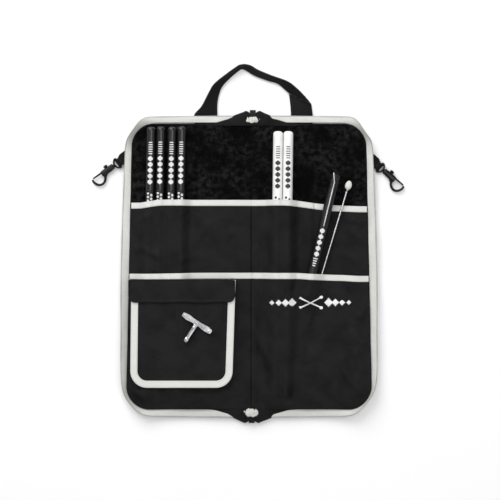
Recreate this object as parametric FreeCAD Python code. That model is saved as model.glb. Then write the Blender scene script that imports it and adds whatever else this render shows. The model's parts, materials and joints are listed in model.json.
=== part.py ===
import FreeCAD, Part
import math
import os

V = FreeCAD.Vector

# A drum stick bag lying open like a book. +X is to the right, +Y towards the handle, +Z up.
# The origin is the centre of the spine's underside. "u" is a distance out from the plane X = 0,
# the same on both covers. Everything is in millimetres.

# Driving dimensions
half_length = 231.0          # centre to the zip tape's edge at each end
half_width_top = 191.6       # centre plane to the tape's edge, at the handle end
half_width_bottom = 200.7    # the same at the other end, a little wider
corner_radius = 48.0
spine_half_width = 22.5
hinge_u = 23.0               # the covers turn about this line
cover_start_u = 23.5
lining_top = 9.0             # padded thickness, and the height of the hinge line
skin = 1.2                   # outer nylon
lining = 1.5                 # plush
tape_width = 11.4
coil_width = 2.6
gusset_width = 5.0
pocket_fabric = 1.1
trim_width = 9.3
trim_extra = 0.3             # a binding stands this much above its pocket's fabric
gap = 0.3

gusset_inset = coil_width + tape_width - 1.0
liner_inset = gusset_inset + gusset_width

# Pocket levels: the underside of each pocket's fabric where nothing lies in it
long_under = 14.0
short_under = 20.1
accessory_under = 26.4
long_mouth_y = 101.5
short_mouth_y = -9.5
stick_mouth_top = 24.7       # long pocket over the dark sticks
light_stick_top = 25.9       # long pocket over the light sticks

nodes = {}


def unit(vector):
    return vector * (1.0 / vector.Length)


def rounded_face(corners, radii):
    """Flat face at z = 0 with straight sides and a tangent arc at each corner with a radius."""
    points = [V(x, y, 0) for x, y in corners]
    entries = []
    for index, here in enumerate(points):
        back = unit(points[index - 1] - here)
        ahead = unit(points[(index + 1) % len(points)] - here)
        radius = radii[index]
        if radius == 0:
            entries.append((here, None, here))
            continue
        half_angle = back.getAngle(ahead) / 2
        cut = radius / math.tan(half_angle)
        middle = here + unit(back + ahead) * (radius / math.sin(half_angle) - radius)
        entries.append((here + back * cut, middle, here + ahead * cut))
    edges = []
    for index, (start, middle, end) in enumerate(entries):
        if middle is not None:
            edges.append(Part.Arc(start, middle, end).toShape())
        edges.append(Part.LineSegment(end, entries[(index + 1) % len(entries)][0]).toShape())
    return Part.Face(Part.Wire(edges))


def prism(corners, radii, z0, z1):
    face = rounded_face(corners, radii)
    face.translate(V(0, 0, z0))
    return face.extrude(V(0, 0, z1 - z0))


def block(x0, x1, y0, y1, z0, z1):
    return Part.makeBox(x1 - x0, y1 - y0, z1 - z0, V(x0, y0, z0))


def rod(start, end, radius):
    return Part.makeCylinder(radius, (end - start).Length, start, end - start)


def fused(shapes):
    shape = shapes[0]
    if len(shapes) > 1:
        shape = shape.multiFuse(shapes[1:])
    return shape.removeSplitter()


def on_side(shape, side):
    """Shapes are drawn on the right cover; the left one's are their mirror image."""
    if side == "right":
        return shape
    return shape.mirror(V(0, 0, 0), V(1, 0, 0))


def ribbon(points, width, z0, z1):
    """Flat strap of one width that follows the points, with mitred turns."""
    path = [V(x, y, 0) for x, y in points]
    left = []
    right = []
    for index, here in enumerate(path):
        ways = []
        if index > 0:
            ways.append(unit(here - path[index - 1]))
        if index < len(path) - 1:
            ways.append(unit(path[index + 1] - here))
        way = unit(sum(ways, V(0, 0, 0)))
        across = V(-way.y, way.x, 0) * (width / 2 / way.dot(ways[0]))
        left.append(here + across)
        right.append(here - across)
    outline = left + right[::-1] + [left[0]]
    face = Part.Face(Part.makePolygon(outline))
    face.translate(V(0, 0, z0))
    return face.extrude(V(0, 0, z1 - z0))


def plan(inset, z0, z1, start_u=cover_start_u):
    """The right cover's outline, drawn in from the tape's edge by the inset."""
    end_y = half_length - inset
    corners = [(start_u, end_y), (half_width_top - inset, end_y),
               (half_width_bottom - inset, -end_y), (start_u, -end_y)]
    radius = corner_radius - inset
    return prism(corners, [0, radius, radius, 0], z0, z1)


def band(outer_inset, inner_inset, z0, z1):
    """Strip round a cover's three free edges."""
    hole = plan(inner_inset, z0 - 1, z1 + 1, cover_start_u - 5)
    return plan(outer_inset, z0, z1).cut(hole)


def heap(blocks, shrink):
    """Filled space under a pocket's fabric: a slab with humps, each (u0, u1, y0, y1, top)."""
    solids = []
    for u0, u1, y0, y1, top in blocks:
        solids.append(block(u0 + shrink, u1 - shrink, y0, y1, lining_top, top - shrink))
    return fused(solids)


def pocket(blocks, mouth_y, below):
    """Shell of fabric over the heap, open at its mouth; below is what it lies on."""
    outer = heap(blocks, 0).common(plan(liner_inset + gap, 0, 60, cover_start_u + 1))
    open_blocks = []
    for u0, u1, y0, y1, top in blocks:
        open_blocks.append((u0, u1, y0, y1 + (5 if y1 == mouth_y else 0), top))
    wall_inset = liner_inset + gap + pocket_fabric
    inner = heap(open_blocks, pocket_fabric).common(plan(wall_inset, 0, 60, cover_start_u + 1))
    shell = outer.cut(inner)
    if below is not None:
        shell = shell.cut(below)
    return shell, outer


def pocket_trim(blocks, mouth_y, below):
    """Binding on the mouth: the same fabric line, a little thicker, ahead of the shell."""
    moved = []
    for u0, u1, y0, y1, top in blocks:
        if y1 == mouth_y:
            moved.append((u0, u1, mouth_y, mouth_y + trim_width, top + trim_extra))
    trim_clip = plan(liner_inset + gap, 0, 60, cover_start_u + 1)
    outer = heap(moved, 0).common(trim_clip)
    longer = [(u0, u1, y0 - 5, y1 + 5, top) for u0, u1, y0, y1, top in moved]
    wall_inset = liner_inset + gap + pocket_fabric
    inner_clip = plan(wall_inset, 0, 60, cover_start_u + 1)
    trim = outer.cut(heap(longer, pocket_fabric + trim_extra).common(inner_clip))
    if below is not None:
        trim = trim.cut(below)
    return trim


# ---------------------------------------------------------------- spine

spine_end_y = half_length - gusset_inset - gusset_width
nodes["spine_outer_panel"] = block(-spine_half_width, spine_half_width, -spine_end_y, spine_end_y,
                                   0, lining_top - gap - lining)
nodes["spine_lining"] = block(-spine_half_width, spine_half_width, -spine_end_y, spine_end_y,
                              lining_top - gap - lining, lining_top - gap)

# The gusset bulges out at each end of the spine, with a notch that the parked slider sits in.
slider_x = {"top": 5.8, "bottom": 4.0}
slider_width = 9.0
slider_length = 9.0
notch_width = slider_width + 2.0
bulge_z = (3.2, 11.0)
end_outline = {
    "top": [(-spine_half_width, spine_end_y), (-spine_half_width, 222.0), (-12.0, 232.0),
            (-5.0, 237.3), (16.5, 237.3), (spine_half_width, 233.0), (spine_half_width, spine_end_y)],
    "bottom": [(-spine_half_width, spine_end_y), (-spine_half_width, 226.0), (-12.0, 234.5),
               (-5.0, 238.7), (13.0, 238.7), (spine_half_width, 231.0), (spine_half_width, spine_end_y)],
}
end_radii = [0, 10, 10, 3, 3, 0, 0]
notch_y = 229.5
for end, way in (("top", 1), ("bottom", -1)):
    centre = slider_x[end]
    bulge = prism(end_outline[end], end_radii, *bulge_z)
    notch = block(centre - notch_width / 2, centre + notch_width / 2, notch_y, 245, 0, 20)
    bulge = bulge.cut(notch)
    tab_width, tab_length, tab_y = {"top": (20.0, 8.7, 219.0), "bottom": (23.0, 12.0, 216.5)}[end]
    tab = prism([(centre - tab_width / 2, tab_y), (centre + tab_width / 2, tab_y),
                 (centre + tab_width / 2, tab_y + tab_length), (centre - tab_width / 2, tab_y + tab_length)],
                [3, 3, 3, 3], bulge_z[1], bulge_z[1] + 1.0)

    # Slider: two plates on a post, with a bail under it that the pull hangs from.
    slider_y0 = notch_y
    plate_low = block(centre - slider_width / 2, centre + slider_width / 2,
                      slider_y0, slider_y0 + slider_length, 3.6, 4.7)
    plate_high = block(centre - slider_width / 2, centre + slider_width / 2,
                       slider_y0, slider_y0 + slider_length, 8.3, 9.4)
    post = block(centre - 1.2, centre + 1.2, slider_y0 + 1, slider_y0 + 5, 4.7, 8.3)
    bail_y = slider_y0 + slider_length / 2
    bail_z = 2.1
    bail = rod(V(centre - 3.2, bail_y, bail_z), V(centre + 3.2, bail_y, bail_z), 0.6)
    legs = [block(centre + x - 0.6, centre + x + 0.6, bail_y - 0.9, bail_y + 0.9, bail_z - 0.6, 3.6)
            for x in (-3.2, 3.2)]
    slider = fused([plate_low, plate_high, post, bail] + legs)
    pull_ring = rod(V(centre - 2.3, bail_y, bail_z), V(centre + 2.3, bail_y, bail_z), 1.3)
    pull_plate = block(centre - 2.3, centre + 2.3, bail_y - 20, bail_y, bail_z - 0.7, bail_z + 0.7)
    bar_hole = rod(V(centre - 4, bail_y, bail_z), V(centre + 4, bail_y, bail_z), 0.66)
    pull = fused([pull_ring, pull_plate]).cut(bar_hole)
    shapes = {"gusset_end": bulge, "zip_tab": tab, "zip_slider": slider, "zip_pull": pull}
    for name, shape in shapes.items():
        nodes[name + "_" + end] = shape if way > 0 else shape.mirror(V(0, 0, 0), V(0, 1, 0))

# Handle: one webbing strap. Its two feet are sewn to the covers, and the loop lies between them.
strap_z = (1.0, 4.6)
foot_z = (1.0, 3.4)
foot_end_y = 246.0
loop_path = [(-62.0, 246.6), (-52.0, 268.0), (-32.0, 289.0), (-12.0, 304.0), (5.0, 299.0),
             (35.0, 288.0), (61.0, 273.0), (76.0, 257.0), (79.5, 246.6)]
loop = ribbon(loop_path, 20.0, *strap_z)
nodes["handle_loop"] = loop.common(block(-120, 120, foot_end_y + gap, 330, 0, 10))

# ---------------------------------------------------------------- covers

foot_u = {"left": (49.7, 83.7), "right": (63.8, 97.3)}
gusset_solid = plan(gusset_inset, -1, 20)
gusset_end_y = half_length - gusset_inset

# Humps in the pockets over what they carry: (u0, u1, y0, y1, top of the fabric)
all_y = -half_length
slab_u = (cover_start_u + 1, 200.0)
humps = {"left": [(91.0, 168.0, all_y, stick_mouth_top)],
         "right": [(30.0, 71.0, all_y, light_stick_top)]}
brush_hump = (74.0, 106.0, -60.0, 31.4)

for side in ("left", "right"):
    nodes[side + "_outer_panel"] = on_side(plan(liner_inset, 0, skin), side)
    nodes[side + "_foam"] = on_side(plan(liner_inset, skin, lining_top - lining), side)
    nodes[side + "_lining"] = on_side(plan(liner_inset, lining_top - lining, lining_top), side)
    nodes[side + "_gusset"] = on_side(band(gusset_inset, liner_inset, 0, lining_top), side)
    nodes[side + "_zip_tape"] = on_side(band(coil_width, gusset_inset, 7.2, 8.4), side)
    nodes[side + "_zip_coil"] = on_side(band(0, coil_width, 6.6, 8.8), side)

    long_blocks = [(*slab_u, all_y, long_mouth_y - trim_width, long_under + pocket_fabric)]
    short_blocks = [(*slab_u, all_y, short_mouth_y - trim_width, short_under + pocket_fabric)]
    for u0, u1, y0, top in humps[side]:
        long_blocks.append((u0, u1, y0, long_mouth_y - trim_width, top))
        over = gap + pocket_fabric
        short_blocks.append((u0 - over, u1 + over, y0, short_mouth_y - trim_width, top + over))
    if side == "right":
        u0, u1, y0, top = brush_hump
        short_blocks.append((u0, u1, y0, short_mouth_y - trim_width, top))
    long_pocket, long_outer = pocket(long_blocks, long_mouth_y - trim_width, None)
    short_pocket, short_outer = pocket(short_blocks, short_mouth_y - trim_width, long_outer)
    long_trim = pocket_trim(long_blocks, long_mouth_y - trim_width, None)
    short_trim = pocket_trim(short_blocks, short_mouth_y - trim_width, long_outer)
    nodes[side + "_long_pocket"] = on_side(long_pocket, side)
    nodes[side + "_long_pocket_trim"] = on_side(long_trim, side)
    nodes[side + "_short_pocket"] = on_side(short_pocket, side)
    nodes[side + "_short_pocket_trim"] = on_side(short_trim, side)

    u0, u1 = foot_u[side]
    foot = block(u0, u1, gusset_end_y - 5, foot_end_y, *foot_z).cut(gusset_solid)
    nodes[side + "_handle_foot"] = on_side(foot, side)
    if side == "left":
        left_short_outer = short_outer

# Embroidered motif on the right short pocket
motif_z = short_under + pocket_fabric
nodes["right_motif"] = block(108.0, 156.0, -64.0, -47.0, motif_z, motif_z + 0.8)

# Accessory pocket on the left cover, drawn on the right and mirrored
pocket_u = (cover_start_u + 1, 178.0)
pocket_y = (-185.1, -20.0)
border = 10.7
accessory_top = accessory_under + pocket_fabric


def accessory_plan(inset, z0, z1, open_end=0.0):
    radius = max(21.0 - inset, 1.0)
    corners = [(pocket_u[0] + inset, pocket_y[1] + open_end), (pocket_u[1] - inset, pocket_y[1] + open_end),
               (pocket_u[1] - inset, pocket_y[0] + inset), (pocket_u[0] + inset, pocket_y[0] + inset)]
    return prism(corners, [0, 0, radius, radius], z0, z1)


accessory = accessory_plan(0, lining_top, accessory_top)
accessory = accessory.cut(accessory_plan(pocket_fabric, lining_top, accessory_under, 5))
accessory = accessory.cut(left_short_outer)
accessory = accessory.common(block(0, 200, -200, 0, short_under + pocket_fabric, 60))
nodes["accessory_pocket"] = on_side(accessory, "left")
u_band = accessory_plan(0, accessory_top, accessory_top + 0.9)
u_band = u_band.cut(accessory_plan(border, accessory_top - 1, accessory_top + 2, 5))
nodes["accessory_pocket_border"] = on_side(u_band, "left")

# Flap over the accessory pocket's mouth, closed by touch-fastener tapes
flap_u = (cover_start_u + 1, 184.0)
flap_y = (-53.2, -20.4)
flap_z = (29.6, 30.7)
flap = prism([(flap_u[0], flap_y[1]), (flap_u[1], flap_y[1]), (flap_u[1], flap_y[0]), (flap_u[0], flap_y[0])],
             [0, 0, 10, 10], *flap_z)
nodes["accessory_flap"] = on_side(flap, "left")
touch_u = (78.0, 128.0)
nodes["flap_hook_tape"] = on_side(block(*touch_u, -49.0, -34.0, 28.6, flap_z[0]), "left")
nodes["pocket_loop_tape"] = on_side(block(*touch_u, -49.0, -34.0, accessory_top, 28.3), "left")

# ---------------------------------------------------------------- snap hooks

hook_z = 4.3                 # height of the hook's own axis
eye_x = 8.0                  # the eye's bar, out from the tape's edge
loop_half = 6.2              # half the width of the tab's loop round the bar
arm_half = 8.4               # half the width across the eye's two arms
arm_width = 1.8
bolt_y = 1.2                 # the bolt is off the barrel's axis, on the thumb knob's side
barrel_x = (16.3, 40.0)
ring_centre = V(46.5, -5.5, 0)
ring_radius = 8.0
ring_wire = 2.3


def along(x0, x1, radius, y=0.0):
    return rod(V(x0, y, 0), V(x1, y, 0), radius)


def hook_parts():
    """One swivel bolt snap along its own X axis, at height 0. The knob is on the +Y side."""
    tab = block(-gusset_inset, 5.4, -10, 10, -1.2, 1.2)
    tab = tab.fuse(rod(V(eye_x, -loop_half, 0), V(eye_x, loop_half, 0), 3.0))
    for y in (-12, loop_half):
        tab = tab.cut(block(4.6, 12, y, y + 12 - loop_half, -4, 4))
    tab = tab.cut(rod(V(eye_x, -12, 0), V(eye_x, 12, 0), 1.6))

    bar = rod(V(eye_x, -arm_half + 0.4, 0), V(eye_x, arm_half - 0.4, 0), 1.5)
    arms = [block(eye_x - 1.0, 14.0, y, y + arm_width, -1.5, 1.5) for y in (-arm_half, arm_half - arm_width)]
    yoke = prism([(12.0, -arm_half), (15.8, -4.0), (15.8, 4.0), (12.0, arm_half)], [0, 0, 0, 0], -1.5, 1.5)
    shank = along(15.0, 22.0, 1.8).fuse(along(20.6, 22.0, 2.6))
    eye = fused([bar, yoke, shank] + arms)

    barrel = along(*barrel_x, 4.0)
    arm = Part.makeTorus(ring_radius, ring_wire, ring_centre, V(0, 0, 1), 0, 360, 257)
    arm.rotate(ring_centre, V(0, 0, 1), 150)
    body = barrel.fuse(arm)
    body = body.cut(along(16.0, 20.4, 1.85)).cut(along(20.3, 22.3, 2.7))
    body = body.cut(along(24.0, 38.0, 2.0, bolt_y)).cut(along(37.0, 49.9, 1.36, bolt_y))
    body = body.cut(block(24.4, 34.4, bolt_y, 8, -1.15, 1.15))

    bolt = along(31.0, 49.6, 1.3, bolt_y).fuse(along(31.0, 34.0, 1.93, bolt_y))
    stud = rod(V(32.5, bolt_y, 0), V(32.5, 6.6, 0), 1.0)
    knob = prism([(29.8, 4.6), (35.2, 4.6), (35.2, 7.0), (29.8, 7.0)], [1, 1, 1, 1], -2.2, 2.2)
    bolt = fused([bolt, stud, knob])

    coils = [Part.makeTorus(1.5, 0.3, V(24.5 + 1.15 * turn, bolt_y, 0), V(1, 0, 0)) for turn in range(6)]
    return {"hook_tab": tab, "hook_eye": eye, "hook_body": body, "hook_bolt": bolt,
            "hook_spring": Part.makeCompound(coils)}


# Where each hook's tab leaves the tape's edge, and how far the hook points below straight out
hook_root = {"left": (193.2, 163.5), "right": (193.4, 157.5)}
hook_droop = {"left": 37.0, "right": 42.0}
for side in ("left", "right"):
    for name, shape in hook_parts().items():
        shape.rotate(V(0, 0, 0), V(0, 0, 1), -hook_droop[side])
        shape.translate(V(*hook_root[side], hook_z))
        if name == "hook_tab":
            shape = shape.cut(gusset_solid)
        nodes[side + "_" + name] = on_side(shape, side)

# ---------------------------------------------------------------- what the bag carries

stick_length = 406.0
stick_rest_z = lining_top + gap


def drum_stick(diameter):
    """Turned stick along -Y from its butt at the origin, with a long taper and a bead tip."""
    radius = diameter / 2
    taper_start = stick_length - 105.0
    bead_radius = 4.7
    neck = stick_length - 8.0
    towards_tip = V(0, -1, 0)
    chamfer = 2.5
    butt = Part.makeCone(radius - chamfer, radius, chamfer, V(0, 0, 0), towards_tip)
    shaft = rod(V(0, -chamfer, 0), V(0, -taper_start, 0), radius)
    taper = Part.makeCone(radius, 2.9, neck - taper_start, V(0, -taper_start, 0), towards_tip)
    bead = Part.makeSphere(bead_radius, V(0, bead_radius - stick_length, 0))
    return fused([shaft, butt, taper, bead])


sticks = {"dark_stick": (14.0, 1.1, [(-148.3, 212.0), (-133.5, 212.5), (-116.6, 212.0), (-101.9, 212.5)]),
          "light_stick": (15.0, 0.7, [(44.3, 205.5), (59.8, 205.5)])}
for name, (diameter, lean, butts) in sticks.items():
    for number, (x, y) in enumerate(butts, 1):
        stick = drum_stick(diameter)
        stick.rotate(V(0, 0, 0), V(0, 0, 1), -lean)
        stick.translate(V(x, y, stick_rest_z + diameter / 2))
        nodes[name + "_" + str(number)] = stick

# Wire brush: a round handle, and the pull rod that lies along its top and bends aside at its end
on_long_pocket = long_under + pocket_fabric + trim_extra + gap
brush_top = (131.6, 139.5)
brush_lean = 13.8
brush_length = 190.0
brush_radius = 7.0
pull_rod_radius = 1.25
pull_rod_z = brush_radius + gap + pull_rod_radius
rod_foot = V(0, -80.0, pull_rod_z)
rod_bend = V(0, -12.0, pull_rod_z)
rod_end = V(-4.4, 1.2, pull_rod_z)
brush_tube = rod(V(0, -brush_length, 0), V(0, 0, 0), brush_radius)
pull_rod = fused([rod(rod_foot, rod_bend, pull_rod_radius), rod(rod_bend, rod_end, pull_rod_radius)]
                 + [Part.makeSphere(pull_rod_radius, point) for point in (rod_foot, rod_bend, rod_end)])
for name, shape in (("brush_handle", brush_tube), ("brush_pull_rod", pull_rod)):
    shape.rotate(V(0, 0, 0), V(0, 0, 1), -brush_lean)
    shape.translate(V(*brush_top, on_long_pocket + brush_radius))
    nodes[name] = shape

# Rod beater: a thin steel rod with an egg-shaped head
beater_head_at = (151.0, 123.5)
beater_lean = 16.7
beater_rod_radius = 1.4
beater_rod = rod(V(0, -238, 0), V(0, -3, 0), beater_rod_radius)
egg = Part.makeSphere(5.0)
stretch = FreeCAD.Matrix()
stretch.scale(V(1, 1.4, 1))
egg = egg.transformGeometry(stretch).cut(rod(V(0, -10, 0), V(0, -3, 0), beater_rod_radius))
for name, shape in (("beater_rod", beater_rod), ("beater_head", egg)):
    shape.rotate(V(0, 0, 0), V(0, 0, 1), -beater_lean)
    shape.translate(V(*beater_head_at, on_long_pocket + beater_rod_radius))
    nodes[name] = shape

# Drum key: a winged bar on a socketed shaft
wing = prism([(-25.5, -3.2), (-17.0, -4.4), (-6.0, -3.4), (6.0, -3.4), (17.0, -4.4), (25.5, -3.2),
              (25.5, 3.2), (17.0, 4.4), (6.0, 3.4), (-6.0, 3.4), (-17.0, 4.4), (-25.5, 3.2)],
             [2, 3, 2, 2, 3, 2, 2, 3, 2, 2, 3, 2], -2.6, 2.6)
shaft = rod(V(0, -2, 0), V(0, -33, 0), 3.4)
socket = block(-2.6, 2.6, -34, -20, -2.6, 2.6)
key = wing.fuse(shaft).cut(socket)
key.rotate(V(0, 0, 0), V(0, 0, 1), -33.0)
key.translate(V(-78.2, -84.7, accessory_top + gap + 3.4))
nodes["drum_key"] = key

# ---------------------------------------------------------------- export

os.makedirs("parts", exist_ok=True)
for name, shape in nodes.items():
    shape.exportStep("parts/" + name + ".step")
    state = "ok" if shape.isValid() and shape.Volume > 0 else "BAD"
    print(name, len(shape.Solids), round(shape.Volume), state)
print(len(nodes), "nodes")
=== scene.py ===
"""A drum stick bag lying open like a book: padded nylon covers round a plush lining, pockets with
pale bindings, a zip round the rim, a webbing handle, two snap hooks, and the tools that it carries.
Lengths are in millimetres until a mesh is made. "u" is a distance out from the plane X = 0."""
import json
import math
import bmesh
import bpy
import numpy as np
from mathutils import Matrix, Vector


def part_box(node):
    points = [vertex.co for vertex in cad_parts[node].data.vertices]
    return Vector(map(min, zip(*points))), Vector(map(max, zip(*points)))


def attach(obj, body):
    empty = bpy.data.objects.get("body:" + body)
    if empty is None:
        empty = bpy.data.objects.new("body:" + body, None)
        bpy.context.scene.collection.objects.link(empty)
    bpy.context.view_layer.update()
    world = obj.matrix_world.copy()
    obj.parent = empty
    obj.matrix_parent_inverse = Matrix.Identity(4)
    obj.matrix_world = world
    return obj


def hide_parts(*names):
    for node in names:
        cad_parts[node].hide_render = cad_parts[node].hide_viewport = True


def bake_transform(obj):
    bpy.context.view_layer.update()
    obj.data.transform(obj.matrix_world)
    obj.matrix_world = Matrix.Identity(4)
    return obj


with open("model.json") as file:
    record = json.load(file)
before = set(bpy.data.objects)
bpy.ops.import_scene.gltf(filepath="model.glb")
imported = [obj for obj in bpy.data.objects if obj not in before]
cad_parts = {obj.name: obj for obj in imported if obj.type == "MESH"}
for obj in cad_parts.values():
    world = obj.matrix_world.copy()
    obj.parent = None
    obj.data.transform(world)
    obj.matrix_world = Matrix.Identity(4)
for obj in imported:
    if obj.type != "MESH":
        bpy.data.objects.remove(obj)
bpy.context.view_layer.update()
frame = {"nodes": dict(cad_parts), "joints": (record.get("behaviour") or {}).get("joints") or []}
MM = 0.001
UP = np.array([0, 0, 1.0])


def box(node):
    low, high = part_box(node)
    return np.array(low) / MM, np.array(high) / MM


# ------------------------------------------------------------------ driving dimensions

HALF_LENGTH = box("right_zip_coil")[1][1]
HALF_TOP = 191.6             # centre plane to the zip's edge at the handle end
HALF_BOTTOM = 200.7
CORNER = 48.0
COIL = 2.6
RIM = 13.0                   # the zip tape's inner edge, in from the zip's outer edge
LINING_TOP = box("left_lining")[1][2]
SEAM_X = 4.0                 # the stitched line down the spine
TRIM_WIDTH = 9.3
STITCH = (2.5, 0.6, 0.5)       # length, width and height of one stitch
FABRIC = 0.9

# ------------------------------------------------------------------ small maths


def unit(v):
    length = np.linalg.norm(v, axis=-1, keepdims=True)
    return v / np.maximum(length, 1e-9)


def smooth(x, low, high):
    t = np.clip((x - low) / (high - low), 0, 1)
    return t * t * (3 - 2 * t)


def run(points):
    """Distance along a polyline at each of its points."""
    return np.concatenate([[0], np.cumsum(np.linalg.norm(np.diff(points, axis=0), axis=1))])


def resample(points, count):
    """The same polyline as count points, evenly spaced."""
    points = np.asarray(points, float)
    at = run(points)
    new = np.linspace(0, at[-1], count)
    return np.stack([np.interp(new, at, points[:, k]) for k in range(points.shape[1])], 1)


def spline(points, count):
    """Smooth curve through the points (Catmull-Rom), each with any number of values."""
    p = np.asarray(points, float)
    p = np.vstack([2 * p[0] - p[1], p, 2 * p[-1] - p[-2]])
    t = np.linspace(0, len(p) - 3, count)
    i = np.minimum(t.astype(int), len(p) - 4)
    f = (t - i)[:, None]
    a, b, c, d = p[i], p[i + 1], p[i + 2], p[i + 3]
    return 0.5 * (2 * b + (c - a) * f + (2 * a - 5 * b + 4 * c - d) * f**2
                  + (3 * b - a - 3 * c + d) * f**3)


def ripple(x, y, seed, longest=70.0, waves=9):
    """Gentle cloth unevenness, about -1 to 1: waves in seeded directions, bent by each other."""
    rng = np.random.default_rng(seed)
    total = np.zeros(np.broadcast(x, y).shape)
    bend = np.zeros_like(total)
    for k in range(waves):
        angle, phase = rng.uniform(0, 2 * math.pi, 2)
        length = longest * 0.8**k
        wave = np.sin((x * math.cos(angle) + y * math.sin(angle)) * 2 * math.pi / length + phase + bend)
        total += wave * 0.8**k
        bend = wave * 1.3
    return total / 2.6


# ------------------------------------------------------------------ the covers' outline


def outline(inset, start_u):
    """The cover's free edge seen from above: three polylines, from the handle end's seam round to
    the other end's. The pieces meet at the middles of the two corners."""
    end = HALF_LENGTH - inset
    radius = CORNER - inset
    slope = (HALF_TOP - HALF_BOTTOM) / (2 * end)
    middle = (HALF_TOP + HALF_BOTTOM) / 2 - inset
    lean = math.atan(slope)

    def centre(sign):
        y = sign * (end - radius)
        return np.array([middle + slope * y - radius / math.cos(lean), y])

    def arc(sign, a, b):
        angles = np.linspace(a, b, 14)
        return centre(sign) + radius * np.stack([np.cos(angles), np.sin(angles)], 1)

    quarter = math.pi / 2
    top = np.vstack([[[start_u, end]], arc(1, quarter, quarter / 2)])
    side = np.vstack([arc(1, quarter / 2, -lean), arc(-1, -lean, -quarter / 2)])
    bottom = np.vstack([arc(-1, -quarter / 2, -quarter), [[start_u, -end]]])
    return top, side, bottom


def whole_outline(inset, start_u, count):
    top, side, bottom = outline(inset, start_u)
    return resample(np.vstack([top, side[1:], bottom[1:]]), count)


def depth(x, y, inset):
    """How far inside the covers' outline a point is."""
    radius = CORNER - inset
    half = (HALF_TOP + HALF_BOTTOM) / 2 - inset + (HALF_TOP - HALF_BOTTOM) / (2 * HALF_LENGTH) * y
    qx = np.abs(x) - (half - radius)
    qy = np.abs(y) - (HALF_LENGTH - inset - radius)
    outside = np.hypot(np.maximum(qx, 0), np.maximum(qy, 0))
    return radius - outside - np.minimum(np.maximum(qx, qy), 0)


def patch(bottom, top, left, right):
    """Grid of points between four curves (a Coons patch)."""
    a = np.linspace(0, 1, len(bottom))[None, :, None]
    b = np.linspace(0, 1, len(left))[:, None, None]
    grid = (1 - b) * bottom[None] + b * top[None] + (1 - a) * left[:, None] + a * right[:, None]
    return grid - ((1 - a) * (1 - b) * bottom[0] + a * (1 - b) * bottom[-1]
                   + (1 - a) * b * top[0] + a * b * top[-1])


def sign_of(side):
    return 1 if side == "right" else -1


def seam_u(side):
    return sign_of(side) * SEAM_X


def cover_plan(side, inset, spacing, mouth=None):
    """Plan of a panel from the spine's seam to the rim, up to a pocket's mouth if one is given."""
    start = seam_u(side)
    sign = sign_of(side)
    top, edge, bottom = outline(inset, start)
    across = int(185 / spacing)
    if mouth is None:
        along = int(440 / spacing)
        upper = resample(top, across)
    else:
        keep = edge[:, 1] < 60
        crossing = edge[~keep][-1] + (edge[keep][0] - edge[~keep][-1]) * 0.5
        for _ in range(6):
            crossing[1] = mouth(sign * crossing[0])
            crossing[0] = np.interp(-crossing[1], -edge[:, 1], edge[:, 0])
        below = edge[:, 1] < crossing[1]
        edge = np.vstack([[crossing], edge[below]])
        us = np.linspace(start, crossing[0], across)
        upper = np.stack([us, mouth(sign * us)], 1)
        along = int((upper[0][1] + HALF_LENGTH) / spacing)
    lower = resample(bottom[::-1], across)
    left = resample([lower[0], upper[0]], along)
    right = resample(edge[::-1], along)
    plan = patch(lower, upper, left, right)
    if side == "left":
        plan = plan * [-1, 1]
    return plan


# ------------------------------------------------------------------ meshes


def make_piece(name, verts, faces, uvs=None, materials=()):
    """Mesh object from millimetres. uvs are in metres, one per vertex."""
    mesh = bpy.data.meshes.new(name)
    mesh.from_pydata((np.asarray(verts, float) * MM).tolist(), [], [list(map(int, f)) for f in faces])
    mesh.validate()
    bm = bmesh.new()
    bm.from_mesh(mesh)
    bmesh.ops.recalc_face_normals(bm, faces=bm.faces)
    bm.to_mesh(mesh)
    bm.free()
    if uvs is None:
        uvs = planar_uv(verts)
    layer = mesh.uv_layers.new(name="UVMap")
    corner = np.zeros(len(mesh.loops), int)
    mesh.loops.foreach_get("vertex_index", corner)
    layer.data.foreach_set("uv", np.asarray(uvs, np.float32)[corner].ravel())
    mesh.polygons.foreach_set("use_smooth", np.ones(len(mesh.polygons), bool))
    for material in materials:
        mesh.materials.append(material)
    piece = bpy.data.objects.new(name, mesh)
    bpy.context.scene.collection.objects.link(piece)
    return piece


def planar_uv(verts):
    v = np.asarray(verts, float) * MM
    return np.stack([v[:, 0] + v[:, 2], v[:, 1] + v[:, 2]], 1)


def grid_faces(rows, cols, offset=0, flip=False):
    i, j = np.meshgrid(np.arange(rows - 1), np.arange(cols - 1), indexing="ij")
    a = (i * cols + j).ravel() + offset
    quads = np.stack([a, a + 1, a + cols + 1, a + cols], 1)
    return quads[:, ::-1] if flip else quads


def border(rows, cols):
    """Indices round a grid's edge, in order."""
    index = np.arange(rows * cols).reshape(rows, cols)
    return np.concatenate([index[0, :-1], index[:-1, -1], index[-1, :0:-1], index[:0:-1, 0]])


def normals(grid):
    across = np.gradient(grid, axis=1)
    along = np.gradient(grid, axis=0)
    n = unit(np.cross(across, along))
    return n * np.where(n[..., 2:3] < 0, -1, 1)


def slab(name, top, bottom, materials, rings=()):
    """Closed piece between two grids of the same shape; rings are border loops between them."""
    rows, cols = top.shape[:2]
    count = rows * cols
    verts = [top.reshape(-1, 3), bottom.reshape(-1, 3)]
    faces = [grid_faces(rows, cols), grid_faces(rows, cols, count, True)]
    edge = border(rows, cols)
    loops = [edge]
    for number, ring in enumerate(rings):
        verts.append(ring)
        loops.append(np.arange(len(edge)) + 2 * count + number * len(edge))
    loops.append(edge + count)
    for first, second in zip(loops, loops[1:]):
        faces.append(np.stack([first, second, np.roll(second, -1), np.roll(first, -1)], 1))
    return make_piece(name, np.vstack(verts), np.vstack(faces), materials=materials)


def cloth_slab(name, grid, materials, thickness=FABRIC):
    n = normals(grid) * thickness / 2
    return slab(name, grid + n, grid - n, materials)


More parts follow.
